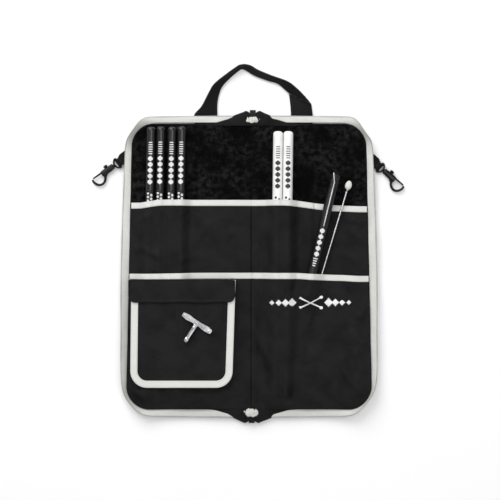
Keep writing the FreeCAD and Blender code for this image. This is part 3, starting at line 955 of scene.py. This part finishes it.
def accessory_outline(inset, count):
    """The pocket's three sewn edges, from its mouth at the spine side round to the other side."""
    right, left = pocket_high[0] + 4.2 - inset, pocket_low[0] - 1.0 + inset
    low, high = pocket_low[1] + 2.4 + inset, pocket_high[1]
    radius = POCKET_CORNER + 4.0 - inset
    lean = -4.6              # the lower end of each side is a little nearer the rim
    turn = np.linspace(0, math.pi / 2, 10)
    first = np.column_stack([right + lean - radius + radius * np.cos(turn),
                             low + radius - radius * np.sin(turn)])
    second = np.column_stack([left + radius - radius * np.sin(turn),
                              low + radius - radius * np.cos(turn)])
    points = np.vstack([[[right, high]], first, second, [[left + 1.5, high]]])
    return resample(points, count)


def accessory_height(x, y):
    rim = np.minimum(np.minimum(x - pocket_low[0], pocket_high[0] - x), y - pocket_low[1])
    return POCKET_TOP - 1.2 + 0.55 * smooth(rim, 0, 30) + 0.18 * ripple(x, y, 41, 60.0)


def accessory_pocket():
    half = accessory_outline(0.6, 241)
    right, low, left = half[:95][::-1], half[94:147], half[146:]
    lower = resample(low[::-1], 60)
    upper = resample([left[-1], right[-1]], 60)
    rows = 60
    plan = patch(lower, upper, resample(left, rows), resample(right, rows))
    grid = with_height(plan, accessory_height(plan[..., 0], plan[..., 1]))
    panel = cloth_slab("accessory_pocket_panel", grid, [inner_nylon])
    on_body(panel, "left_cover", "nylon", "accessory_pocket")

    edge = accessory_outline(0.6, 240)
    face = np.column_stack([edge, accessory_height(edge[:, 0], edge[:, 1])])
    foot = np.column_stack([accessory_outline(-0.4, 240), np.zeros(240)])
    foot[:, 2] = np.minimum(sample(short_field, foot[:, 0], foot[:, 1]) + 0.3, face[:, 2] - 0.6)
    steps = np.linspace(0, 1, 6)[:, None, None]
    wall = face[None] * (1 - steps) + foot[None] * steps
    out = unit(foot[:, :2] - np.array([[-100.0, -90.0]]))
    wall[..., :2] += out[None] * 1.2 * np.sin(math.pi * steps)
    inward = np.concatenate([-out, np.zeros((240, 1))], 1)[None] * FABRIC
    gusset = slab("accessory_pocket_gusset", wall, wall + inward, [inner_nylon])
    on_body(gusset, "left_cover", "nylon")

    middle = accessory_outline(BORDER / 2 - 0.2, 240)
    path = np.column_stack([middle, accessory_height(middle[:, 0], middle[:, 1]) + 0.75])
    side_way, up = flat_frames(path)
    band = sweep("accessory_pocket_binding", path, side_way, up, flat_profile(BORDER, 1.3, 0.15),
                 [binding_cloth])
    on_body(band, "left_cover", "grey_binding", "accessory_pocket_border")
    for number, offset in enumerate((-BORDER / 2 + 1.3, BORDER / 2 - 1.3)):
        line = path + side_way * offset + up * 0.68
        seam = stitches("accessory_stitch_%d" % (number + 1), line, thread_grey)
        on_body(seam, "left_cover", "grey_binding")


accessory_pocket()

flap_low, flap_high = box("accessory_flap")
FLAP_CORNER = 10.0


def flap():
    """Flap with soft lower corners, its edge rolled under, and the sewn root that it hangs from."""
    left, right, low, high = flap_low[0] + 3.0, flap_high[0] + 2.6, flap_low[1], flap_high[1]
    turn = np.linspace(0, math.pi / 2, 8)
    r = FLAP_CORNER
    right_arc = np.column_stack([right - r + r * np.cos(turn), low + r - r * np.sin(turn)])
    left_arc = np.column_stack([left + r - r * np.sin(turn), low + r - r * np.cos(turn)])
    lower = resample(np.vstack([left_arc[:4][::-1], right_arc[4:][::-1]]), 90)
    side_left = resample(np.vstack([left_arc[3:], [[left, high]]]), 20)
    side_right = resample(np.vstack([right_arc[:5][::-1], [[right, high]]]), 20)
    upper = resample([[left, high], [right, high]], 90)
    plan = patch(lower, upper, side_left, side_right)
    x, y = plan[..., 0], plan[..., 1]
    sag = 0.9 * smooth(-y, 35, 55) * (1 + 0.5 * np.sin(x / 13.0)) + 0.25 * ripple(x, y, 51, 50.0)
    grid = with_height(plan, flap_high[2] - 0.2 - sag)
    grid[0, :, 1] += 0.6 * np.sin(grid[0, :, 0] / 9.0)
    cover = cloth_slab("flap_panel", grid, [inner_nylon], 1.1)
    on_body(cover, "accessory_flap", "nylon", "accessory_flap")
    hem = np.vstack([grid[::-1, 0], grid[0, 1:-1], grid[:, -1]])
    side_way, up = flat_frames(hem)
    rolled = sweep("flap_hem", hem, side_way, up, round_profile(1.05, 8), [inner_nylon])
    on_body(rolled, "accessory_flap", "nylon")
    inner = hem[8:-8].copy()
    inner[:, 1] += 2.6 * np.sin(np.linspace(0, math.pi, len(inner))) ** 0.2
    on_body(stitches("flap_stitch", inner + [0, 0, 0.62], thread_black), "accessory_flap", "nylon")
    xs = np.linspace(left + 1, right - 1, 60)
    steps = np.linspace(0, 1, 7)[:, None]
    root_y = high + 0.2 + 0.9 * steps + 0 * xs
    base = sample(short_field, xs, np.full_like(xs, high + 1)) + 0.6
    root_z = base + (flap_high[2] - 0.4 - base) * (1 - steps) ** 0.6
    root = np.stack([np.broadcast_to(xs, root_y.shape), root_y, root_z], -1)
    on_body(cloth_slab("flap_root", root, [inner_nylon]), "left_cover", "nylon")


flap()


def touch_tape(name, node, body, facing):
    """Touch fastener: a woven base with rows of small hooks or loops on one face."""
    low, high = box(node)
    thin = 0.35
    floor_z = low[2] if facing > 0 else high[2]
    xs = np.linspace(low[0], high[0], 14)
    ys = np.linspace(low[1], high[1], 6)
    x, y = np.meshgrid(xs, ys)
    base = np.stack([x, y, np.full_like(x, floor_z + facing * thin / 2)], -1)
    strip = cloth_slab(name, base, [webbing], thin)
    on_body(strip, body, "touch_tape", node)
    hx, hy = np.meshgrid(np.arange(low[0] + 1.5, high[0] - 1, 1.9), np.arange(low[1] + 1.5, high[1] - 1, 1.9))
    at = np.column_stack([hx.ravel(), hy.ravel(), np.full(hx.size, floor_z + facing * (thin + 0.15))])
    count = len(at)
    verts, faces = bead_shape(0.9, 0.5, 0.5)
    axes = [np.tile(v, (count, 1)) for v in ([0.8, 0, 0.6 * facing], [0, 1.0, 0], [-0.6 * facing, 0, 0.8])]
    on_body(instances(name + "_pile", verts, faces, at, *axes, [rubber]), body, "touch_tape")


touch_tape("flap_touch_tape", "flap_hook_tape", "accessory_flap", -1)
touch_tape("pocket_touch_tape", "pocket_loop_tape", "left_cover", 1)

# ------------------------------------------------------------------ spine ends


def spine_end(end, half):
    """Half of the gusset's bulge at the spine's end: it swells to a bump and dips to the notch."""
    way = 1 if end == "top" else -1
    notch_x = (box("zip_slider_" + end)[0][0] + box("zip_slider_" + end)[1][0]) / 2
    reach = abs(box("gusset_end_" + end)[1 if way > 0 else 0][1])
    if half == "left":
        stations = [(-66, 218.6), (-48, 221.6), (-33, 226.6), (-20, reach - 5.5), (notch_x - 15, reach - 1.6),
                    (notch_x - 10.5, reach + 0.3), (notch_x - 5.5, reach - 2.0), (notch_x, reach - 6.0)]
    else:
        stations = [(notch_x, reach - 6.0), (notch_x + 5.5, reach - 2.0), (notch_x + 10.5, reach + 0.3),
                    (notch_x + 15, reach - 1.6), (31, reach - 6.0), (44, 226.0), (58, 221.4), (76, 218.6)]
    line = spline(stations, 70)
    rows = 15
    steps = np.linspace(0, 1, rows)[:, None]
    back_y = HALF_LENGTH - RIM - 3.5
    x = np.broadcast_to(line[:, 0], (rows, 70))
    y = back_y + (line[:, 1] - back_y) * steps
    swell = smooth(line[:, 1], 218, 236) * (1 - smooth(np.abs(line[:, 0]), 26, 38))
    crease = (0.55 * np.sin(line[:, 0] * 0.9 + 3 * steps) * swell
              + 0.3 * np.sin(line[:, 0] * 2.1 + 5 * steps) * swell)
    round_off = np.sqrt(np.clip(1 - steps**4, 0, 1))
    top = LINING_TOP - 0.3 + (0.5 + 2.6 * swell) * np.sin(math.pi * (0.25 + 0.5 * steps)) * round_off + crease
    mid = 6.6
    low = mid - (mid - 3.0) * round_off + 0 * x
    top = mid + (top - mid) * round_off
    upper = np.stack([x, way * y, top], -1)
    lower = np.stack([x, way * y, low], -1)
    name = "spine_end_%s_%s" % (end, half)
    piece = slab(name, upper, lower, [nylon])
    across_hinge(piece, half, "nylon", *(["gusset_end_" + end] if half == "left" else []))


for end in ("top", "bottom"):
    spine_end(end, "left")
    spine_end(end, "right")


def zip_tab(end):
    """Crumpled end of the zip tape, folded back over the bulge."""
    low, high = box("zip_tab_" + end)
    rows, cols = 22, 34
    a = np.linspace(-1, 1, cols)[None]
    b = np.linspace(-1, 1, rows)[:, None]
    seed = 61 if end == "top" else 67
    ragged = 1 + 0.14 * ripple(a * 30 + 0 * b, b * 30 + 0 * a, seed, 26.0)
    width, length = (high - low)[:2] / 2
    round_off = (1 - 0.28 * np.abs(b) ** 3)
    x = (low[0] + high[0]) / 2 + width * a * ragged * round_off
    y = (low[1] + high[1]) / 2 + length * b * ragged * (1 - 0.22 * np.abs(a) ** 3)
    z = high[2] + 0.2 + 0.9 * ripple(x, y, seed + 1, 9.0, 5) - 1.0 * (np.abs(a) ** 3 + np.abs(b) ** 3)
    grid = np.stack([x, y, z], -1)
    on_body(cloth_slab("zip_tail_" + end, grid, [tape_cloth], 0.8), "spine", "grey_binding", "zip_tab_" + end)


zip_tab("top")
zip_tab("bottom")

# ------------------------------------------------------------------ handle

FOOT_Z = (box("left_handle_foot")[0][2] + box("left_handle_foot")[1][2]) / 2


def strap(name, side, stations, thickness, nodes=()):
    """Webbing between an outer and an inner edge: stations are (outer x, y, z, inner x, y, z)."""
    line = spline(stations, 12 * len(stations))
    outer, inner = line[:, :3], line[:, 3:]
    middle = (outer + inner) / 2
    across = unit(outer - inner)
    along = unit(np.gradient(middle, axis=0))
    up = unit(np.cross(along, across))
    up = up * np.where(up[:, 2:] < 0, -1, 1)
    width = np.linalg.norm(outer - inner, axis=1)
    profile = np.array([flat_profile(w, thickness, 0.3) for w in width])
    piece = sweep(name, middle, across, up, profile, [webbing])
    across_hinge(piece, side, "webbing", *nodes)
    for number, share in enumerate((0.08, 0.92)):
        edge = inner + (outer - inner) * share + up * (thickness / 2 + 0.1)
        if number == 0 or thickness > 2.5:
            across_hinge(stitches("%s_stitch_%d" % (name, number + 1), edge, thread_black), side, "webbing")
    return piece


APEX_LEFT = [(-15.9, 306.0, 12.0, -13.7, 301.8, 2.0), (-12.0, 307.0, 12.5, -12.0, 302.6, 2.0)]
strap("handle_left_arm", "left",
      [(-83.6, 219.0, FOOT_Z, -49.6, 219.0, FOOT_Z), (-83.4, 233.0, FOOT_Z, -48.6, 234.0, FOOT_Z),
       (-72.6, 245.5, 3.4, -48.3, 250.0, 2.6), (-61.6, 266.0, 6.0, -45.3, 264.8, 2.4),
       (-52.9, 279.0, 9.0, -39.8, 276.8, 2.2), (-33.4, 294.0, 11.5, -26.8, 291.0, 2.0)] + APEX_LEFT,
      3.0, ["left_handle_foot", "handle_loop"])
strap("handle_right_arm", "right",
      [(-12.0, 307.0, 12.5, -12.0, 302.6, 2.0), (-7.0, 308.0, 12.0, -8.0, 302.0, 2.0),
       (3.0, 306.2, 10.5, -1.5, 298.0, 2.2), (14.6, 299.7, 9.0, 8.1, 292.0, 2.4),
       (36.4, 291.0, 8.0, 26.5, 285.0, 2.6), (60.4, 282.2, 7.0, 43.5, 279.5, 3.2),
       (75.6, 270.3, 6.0, 54.0, 271.0, 4.0), (86.0, 259.5, 5.2, 59.0, 266.5, 4.4),
       (95.4, 248.6, 4.7, 61.0, 264.6, 4.6)],
      3.0)
strap("handle_right_foot", "right",
      [(97.3, 219.0, FOOT_Z, 63.9, 219.0, FOOT_Z), (97.4, 231.0, FOOT_Z, 64.2, 231.0, FOOT_Z),
       (96.4, 241.0, FOOT_Z, 63.2, 247.0, FOOT_Z), (95.4, 248.6, FOOT_Z + 0.2, 61.2, 264.0, FOOT_Z + 0.2)],
      1.9, ["right_handle_foot"])

# ------------------------------------------------------------------ hook tabs


def hook_tab(side):
    """Webbing tab folded round the snap hook's eye, its end tucked under the zip tape."""
    low, high = box(side + "_hook_tab")
    joint = next(j for j in frame["joints"] if j["name"] == side + "_hook_swivel")
    pivot = np.array(joint["pos_m"]) / MM
    way = unit(np.array(joint["axis"]))
    across = np.cross((0, 0, 1.0), way)
    turn = np.linspace(math.pi / 2, -math.pi / 2, 9)
    wrap = 2.55
    loop = np.column_stack([wrap * np.cos(turn), wrap * np.sin(turn)])
    route = np.vstack([[[-20, 0.95], [-12, 0.95], [-5, 1.0]], loop, [[-5, -1.0], [-12, -0.95], [-20, -0.95]]])
    route = spline(route, 60)
    width = 12.0 + 6.0 * smooth(-route[:, 0], 3, 9)
    path = pivot + route[:, :1] * way + route[:, 1:] * UP
    along = unit(np.gradient(path, axis=0))
    side_way = np.tile(across, (len(path), 1))
    up = np.cross(side_way, along)
    profile = np.array([flat_profile(w, 0.85) for w in width])
    tab = sweep(side + "_hook_webbing", path, side_way, up, profile, [webbing])
    on_body(tab, side + "_cover", "webbing", side + "_hook_tab")
    bar = np.array([pivot + way * -4.4 + across * s + UP * 1.5 for s in (-6.5, 6.5)])
    seam = stitches(side + "_hook_tab_stitch", resample(bar, 8), thread_black, 1.8)
    on_body(seam, side + "_cover", "webbing")


hook_tab("left")
hook_tab("right")

# ------------------------------------------------------------------ metal parts

EYE_X = 8.0                  # the eye's bar, out from where the tab leaves the tape


def dress(node, material, bevel=0.25):
    """Keeps a CAD part's own mesh, with a material and softened edges."""
    piece = frame["nodes"][node]
    piece.data.materials.clear()
    piece.data.materials.append(material)
    edge = piece.modifiers.new("soft_edges", "BEVEL")
    edge.width = bevel * MM
    edge.segments = 2
    edge.limit_method = "ANGLE"
    edge.angle_limit = math.radians(40)
    shade = piece.modifiers.new("even_shading", "WEIGHTED_NORMAL")
    shade.keep_sharp = False
    piece.data.polygons.foreach_set("use_smooth", np.ones(len(piece.data.polygons), bool))


def snap_hook(side):
    """Swivel eye, barrel with its teardrop hook, and the gate with its thumb knob."""
    swivel = next(j for j in frame["joints"] if j["name"] == side + "_hook_swivel")
    pivot = np.array(swivel["pos_m"]) / MM
    way = unit(np.array(swivel["axis"]))
    out = np.cross((0, 0, 1.0), way) * sign_of(side)
    root = pivot - way * EYE_X

    def at(points):
        points = np.asarray(points, float)
        return root + points[:, :1] * way + points[:, 1:] * out

    def wire(name, points, radii, count, body, *nodes):
        path = at(spline(points, count))
        along = unit(np.gradient(path, axis=0))
        size = np.interp(np.linspace(0, 1, count), np.linspace(0, 1, len(radii)), radii)
        profile = np.array([round_profile(r, 14) * [1, 0.92] for r in size])
        piece = sweep(name, path, np.cross(along, UP), np.tile(UP, (count, 1)), profile, [gunmetal])
        return on_body(piece, body, "gunmetal", *nodes)

    ring = [(EYE_X, 0), (EYE_X, 5.5), (EYE_X + 0.6, 7.6), (EYE_X + 3.0, 7.2), (EYE_X + 6.2, 3.6),
            (EYE_X + 7.0, 0), (EYE_X + 6.2, -3.6), (EYE_X + 3.0, -7.2), (EYE_X + 0.6, -7.6),
            (EYE_X, -5.5), (EYE_X, 0)]
    wire(side + "_swivel_ring", ring, [1.45], 90, side + "_hook_eye", side + "_hook_eye")
    post = [(13.6, 1.2), (13.6, 2.6), (14.6, 3.0), (16.0, 3.0), (16.4, 2.2), (18.0, 2.2)]
    on_body(lathe(side + "_swivel_post", post, root, way, [gunmetal], 24), side + "_hook_eye", "gunmetal")

    xs = [17.0, 17.0, 17.8, 19.5, 20.3, 21.2, 36.0, 37.4, 38.6, 39.2, 39.2]
    halves = [0.4, 3.4, 4.3, 4.5, 4.0, 4.5, 4.9, 4.6, 4.2, 3.2, 0.4]
    path = at([(x, 0.6) for x in xs])
    profile = []
    for half in halves:
        angles = np.linspace(0, 2 * math.pi, 24, endpoint=False)
        c, sn = np.cos(angles), np.sin(angles)
        profile.append(np.column_stack([np.sign(c) * np.abs(c) ** 0.7 * half,
                                        np.sign(sn) * np.abs(sn) ** 0.7 * min(half, 4.05)]))
    barrel = sweep(side + "_hook_barrel", path, np.tile(out, (len(xs), 1)), np.tile(UP, (len(xs), 1)),
                   np.array(profile), [gunmetal])
    on_body(barrel, side + "_hook", "gunmetal", side + "_hook_body")
    drop = [(33.0, -2.5), (36.5, -4.6), (39.0, -8.2), (43.5, -11.0), (49.0, -11.2), (53.4, -8.0),
            (55.6, -3.4), (56.0, 0.2), (55.2, 3.0)]
    wire(side + "_hook_drop", drop, [2.6, 2.3, 1.9, 1.9, 1.9, 1.9, 1.9, 1.7, 1.3], 70, side + "_hook")
    # painted shade: a dark strip laid on the barrel's side stands for the shadowed opening of the bolt's slot
    slot_shade_line = at([(22.0, 4.9), (35.5, 5.1)])
    on_body(sweep(side + "_hook_slot_painted_shade", slot_shade_line, np.tile(out, (2, 1)), np.tile(UP, (2, 1)),
                  flat_profile(1.0, 1.7), [black_metal]), side + "_hook", "black_metal")

    gate = [(37.2, 3.35), (45.0, 3.4), (53.6, 3.7)]
    wire(side + "_hook_gate", gate, [1.35, 1.35, 1.2], 12, side + "_bolt", side + "_hook_bolt")
    knob = [(4.0, 1.3), (5.6, 1.3), (5.9, 2.9), (6.6, 3.2), (8.2, 3.2), (8.9, 2.8), (9.3, 1.0)]
    turned = lathe(side + "_hook_knob", knob, at([(27.5, 0)])[0], out, [gunmetal], 20)
    on_body(turned, side + "_bolt", "gunmetal")


for side in ("left", "right"):
    snap_hook(side)
    dress(side + "_hook_spring", spring_steel, 0.05)
for end in ("top", "bottom"):
    dress("zip_slider_" + end, black_metal)
    dress("zip_pull_" + end, black_metal)

# ------------------------------------------------------------------ sticks and tools


def marks(name, butt, way, radius, shapes, material, body, slot):
    """Printed marks on a round rod: each is a closed outline of (along, round) points in mm."""
    way = unit(way)
    side = unit(np.cross(way, (0, 0, 1.0)))
    up = np.cross(side, way)
    verts, faces = [], []
    n = 36
    for shape in shapes:
        closed = np.asarray(list(shape) + [shape[0]], float)
        shape = resample(closed, n + 1)[:-1]
        middle = shape.mean(0)
        base = len(verts)
        for ring in (0.0, 0.25, 0.5, 0.75, 1.0):
            points = middle + (shape - middle) * ring if ring else middle[None]
            for s, t in points:
                a = t / radius
                reach = radius + 0.09 - 0.03 * ring
                verts.append(butt + way * s + reach * (math.sin(a) * side + math.cos(a) * up))
        for k in range(n):
            m = (k + 1) % n
            faces.append([base, base + 1 + k, base + 1 + m])
            for ring in range(3):
                first = base + 1 + ring * n
                faces.append([first + k, first + n + k, first + n + m, first + m])
    on_body(make_piece(name, verts, faces, materials=[material]), body, slot)


def lozenge(s, t, long, wide):
    return [(s - long / 2, t), (s - long / 6, t - wide / 2), (s + long / 6, t - wide / 2),
            (s + long / 2, t), (s + long / 6, t + wide / 2), (s - long / 6, t + wide / 2)]


def bar(s, t, long, wide):
    """Rectangle with enough points across to follow the curve."""
    ts = np.linspace(t - wide / 2, t + wide / 2, 6)
    return [(s - long / 2, x) for x in ts] + [(s + long / 2, x) for x in ts[::-1]]


def drum_stick(name):
    butt, way, radius = sticks[name]
    dark = name.startswith("dark")
    turn = np.linspace(0, math.pi / 2, 7)
    nose = 4.6
    stations = [(0.0, 0.0), (0.0, radius - nose)]
    stations += [(nose * (1 - math.cos(a)), radius - nose + nose * math.sin(a)) for a in turn[1:]]
    stations += [(s, radius) for s in np.linspace(8, 296, 25)]
    stations += [(s, float(stick_radius(s, radius))) for s in np.linspace(TAPER_START, NECK - 3, 16)]
    centre = STICK_LENGTH - TIP_RADIUS
    stations += [(centre + TIP_RADIUS * math.sin(a), TIP_RADIUS * math.cos(a))
                 for a in np.linspace(-0.85, math.pi / 2, 12)]
    slot = "dark_lacquer" if dark else "light_lacquer"
    piece = lathe(name + "_turned", stations[1:], butt, way, [dark_lacquer if dark else light_lacquer], 36)
    on_body(piece, name, slot, name)
    ink = dark_ink if dark else black_ink
    shapes = []
    for k in range(6):
        shapes.append(bar(24 + 3.4 * k, 0, 1.5, 6.5 - 0.35 * abs(k - 2.5)))
    for k in range(5):
        shapes.append(lozenge(48.5 + 8.8 * k, 0, 8.2, 7.6))
    for k in range(3):
        shapes.append(lozenge(101.0 + 5.6 * k, 2.6, 4.6, 3.6))
        shapes.append(lozenge(103.8 + 5.6 * k, -2.6, 4.6, 3.6))
    marks(name + "_marks", butt, way, radius, shapes, ink, name, slot)
    if dark:
        sleeve = [(96.0, radius + 0.02), (96.5, radius + 0.25), (99.5, radius + 0.25), (100.0, radius + 0.02)]
        on_body(lathe(name + "_ring", sleeve, butt, way, [rubber], 36), name, "rubber_grip")


for name in sticks:
    drum_stick(name)


def brush():
    """Wire brush: a ribbed grip with end caps, and the pull rod, whose end is bent over."""
    r = brush_radius
    stations = [(0.0, 2.2), (0.0, r - 1.6), (0.8, r - 0.5), (2.2, r), (7.0, r), (7.6, r - 0.7),
                (8.4, r - 0.7), (9.0, r)]
    for k in range(22):
        s = 12 + 1.6 * k
        stations += [(s, r), (s + 0.5, r - 0.28), (s + 1.0, r - 0.28)]
    stations += [(s, r) for s in np.linspace(50, 178, 16)]
    stations += [(180.0, r - 0.7), (181.0, r - 0.7), (182.0, r), (188.0, r),
                 (BRUSH_LENGTH, r - 1.4), (BRUSH_LENGTH, 2.0)]
    on_body(lathe("brush_grip", stations, brush_butt, brush_way, [rubber], 40), "brush", "rubber_grip",
            "brush_handle")
    shapes = [lozenge(88 + 9.0 * k, 0, 8.4, 7.4) for k in range(5)]
    shapes += [bar(131 + 3.6 * k, 0, 1.8, 7.0 - 0.9 * k) for k in range(4)]
    marks("brush_marks", brush_butt, brush_way, r, shapes, dark_ink, "brush", "rubber_grip")
    rod_low, rod_high = box("brush_pull_rod")
    along = -unit(brush_way)
    side = np.cross(along, (0, 0, 1.0))
    top = np.array([*brush_butt[:2], (rod_low[2] + rod_high[2]) / 2])
    rod_radius = (rod_high[2] - rod_low[2]) / 2
    points = [top - along * 81 - [0, 0, 0.9], top - along * 76, top - along * 30, top - along * 14.5,
              top - along * 11.5 - side * 0.4, top - along * 5.0 - side * 2.6, top + along * 1.6 - side * 4.5]
    path = spline(points, 60)
    path[:, 2] = np.maximum(path[:, 2], brush_butt[2] + brush_radius + rod_radius * 0.55)
    way = unit(np.gradient(path, axis=0))
    up = np.tile((0, 0, 1.0), (60, 1))
    radii = [min(rod_radius, 0.5 + 0.35 * min(k, 59 - k)) for k in range(60)]
    profile = np.array([round_profile(r, 12) for r in radii])
    on_body(sweep("brush_rod", path, np.cross(way, up), up, profile, [steel]), "brush_pull_rod", "steel_rod",
            "brush_pull_rod")


brush()


def beater():
    """Rod beater: a thin steel rod, ferrule and an egg-shaped felt head."""
    way = beater_way
    stations = [(9.5, 0.9), (9.5, 1.4)] + [(s, 1.4) for s in np.linspace(12, BEATER_LENGTH - 1, 18)]
    stations += [(BEATER_LENGTH, 0.8)]
    stations = [(s, min(r, beater_radius)) for s, r in stations]
    shaft = lathe("beater_shaft", stations, beater_top, way, [steel], 16)
    on_body(shaft, "beater", "steel_rod", "beater_rod")
    ferrule = [(4.0, 1.5), (4.0, 2.1), (5.0, 2.3), (8.6, 1.9), (9.6, 1.5)]
    on_body(lathe("beater_ferrule", ferrule, beater_top, way, [steel], 20), "beater", "steel_rod")
    egg = []
    for a in np.linspace(0.06, math.pi - 0.06, 25):
        egg.append((-7.0 * math.cos(a), 5.0 * math.sin(a) * (1 - 0.10 * math.cos(a))))
    on_body(lathe("beater_felt", egg, beater_top, way, [felt], 32), "beater", "pale_felt", "beater_head")


beater()


KEY_TURN = -33.0             # degrees
KEY_PLACE = (-78.2, -84.7)   # middle of the key's bar


def drum_key():
    """The CAD key with softened edges, a collar, a band and a row of studs along its bar."""
    dress("drum_key", chrome, 0.5)
    low, high = box("drum_key")
    turn = math.radians(KEY_TURN)
    right = np.array([math.cos(turn), math.sin(turn), 0])
    down = np.array([math.sin(turn), -math.cos(turn), 0])
    centre = np.array([*KEY_PLACE, (low[2] + high[2]) / 2])
    collar = [(3.2, 3.45), (3.6, 4.2), (5.2, 4.2), (5.8, 3.7), (7.0, 3.7), (7.4, 4.1), (8.6, 4.1),
              (9.0, 3.45)]
    on_body(lathe("key_collar", collar, centre, down, [chrome], 28), "drum_key", "chrome_key")
    band = [(26.0, 3.45), (26.4, 4.0), (31.6, 4.0), (32.2, 3.45)]
    on_body(lathe("key_band", band, centre, down, [chrome], 28), "drum_key", "chrome_key")
    stud, stud_faces = bead_shape(3.4, 3.4, 1.6, 10)
    origins = np.array([centre + right * s + UP * 2.6 for s in (-21.5, -12.0, 0.0, 12.0, 21.5)])
    count = len(origins)
    axes = [np.tile(v, (count, 1)) for v in (right, -down, UP)]
    on_body(instances("key_studs", stud, stud_faces, origins, *axes, [chrome]), "drum_key", "chrome_key")


drum_key()

# ------------------------------------------------------------------ embroidered motif

def motif():
    """Two crossed sticks between rows of lozenges, filled with raised threads."""
    middle_y = -54.5
    verts, faces = bead_shape(1.0, 0.55, 0.5, 5)
    origins, ways, lengths = [], [], []

    def fill(outline_points):
        points = np.array(outline_points)
        xs = np.arange(points[:, 0].min() + 0.15, points[:, 0].max(), 0.42)
        closed = np.vstack([points, points[:1]])
        for x in xs:
            crossing = []
            for (x0, y0), (x1, y1) in zip(closed, closed[1:]):
                if (x0 - x) * (x1 - x) < 0:
                    crossing.append(y0 + (y1 - y0) * (x - x0) / (x1 - x0))
            if len(crossing) >= 2:
                origins.append((x, (min(crossing) + max(crossing)) / 2))
                lengths.append(max(crossing) - min(crossing))

    for k in range(4):
        size = 9.0 + 2.4 * k
        for x in (34.5 + 10.2 * k, 151.5 - 10.2 * k):
            fill([(x - size * 0.42, middle_y), (x, middle_y - size / 2), (x + size * 0.42, middle_y),
                  (x, middle_y + size / 2)])
    for sign in (-1, 1):
        left, right = np.array([76.5, middle_y - sign * 8.0]), np.array([109.5, middle_y + sign * 8.0])
        along = unit(right - left)
        normal = np.array([-along[1], along[0]])
        fill([left + normal * 2.2, right + normal * 1.1, right - normal * 1.1, left - normal * 2.2])
        fill(right + round_profile(2.9, 11))
    at = np.array(origins)
    height = sample(short_field, at[:, 0], at[:, 1]) + 0.62
    at = np.column_stack([at, height])
    count = len(at)
    way = np.tile((0, 1.0, 0), (count, 1)) * np.array(lengths)[:, None]
    side = np.tile((1.0, 0, 0), (count, 1))
    up = np.tile((0, 0, 1.0), (count, 1))
    piece = instances("embroidered_motif", verts, faces, at, way, side, up, [thread_white])
    on_body(piece, "right_cover", "embroidery", "right_motif")


motif()

# ------------------------------------------------------------------ seams sewn through the panels


def panel_seam(name, side, field, x, y0, y1, lift=0.55):
    ys = np.linspace(y0, y1, 60)
    line = np.column_stack([np.full(60, x), ys, sample(field, np.full(60, x), ys) + lift])
    return across_hinge(stitches(name, line, thread_black), side, "nylon")


panel_seam("divider_seam", "right", long_field, DIVIDER_X, -5, 90)
panel_seam("spine_seam_long", "right", long_field, SEAM_X + 1.2, -6, 90)
panel_seam("spine_seam_short", "right", short_field, SEAM_X + 1.2, -212, -20)

# ------------------------------------------------------------------ floor, light and camera


def stage_and_light():
    world = bpy.data.worlds.new("studio")
    world.use_nodes = True
    world.node_tree.nodes["Background"].inputs["Color"].default_value = (1, 1, 1, 1)
    world.node_tree.nodes["Background"].inputs["Strength"].default_value = 0.50
    bpy.context.scene.world = world
    bpy.ops.mesh.primitive_plane_add(size=8, location=(0, 0, 0))
    ground = bpy.context.object
    ground.name = "floor"
    s = Shader("white_floor", 0.9)
    cloud = s.noise(s.place(), 3.0)
    ground.data.materials.append(s.finish(s.mix(cloud, (0.88, 0.88, 0.88), (0.90, 0.90, 0.90))))
    for name, at, size, watts in (("key_light", (-0.7, 1.4, 1.3), 1.5, 34.0),
                                  ("top_light", (0.3, 0.3, 2.2), 1.2, 12.0),
                                  ("fill_light", (0.9, -1.3, 1.2), 1.2, 5.0)):
        light = bpy.data.lights.new(name, "AREA")
        light.size = size
        light.energy = watts
        lamp = bpy.data.objects.new(name, light)
        lamp.location = at
        lamp.rotation_euler = (-Vector(at)).to_track_quat("-Z", "Y").to_euler()
        bpy.context.scene.collection.objects.link(lamp)


FRAME_WIDTH = 762.5          # what the picture spans at the bag's level
VIEW_CENTRE = (1.5, 25.2)


def make_camera():
    data = bpy.data.cameras.new("camera")
    data.lens = 85
    data.sensor_width = 36
    camera = bpy.data.objects.new("camera", data)
    distance = FRAME_WIDTH * data.lens / data.sensor_width
    camera.location = Vector((*VIEW_CENTRE, distance + LINING_TOP)) * MM
    bpy.context.scene.collection.objects.link(camera)
    bpy.context.scene.camera = camera
    bpy.context.scene.view_settings.view_transform = "Standard"


stage_and_light()
make_camera()
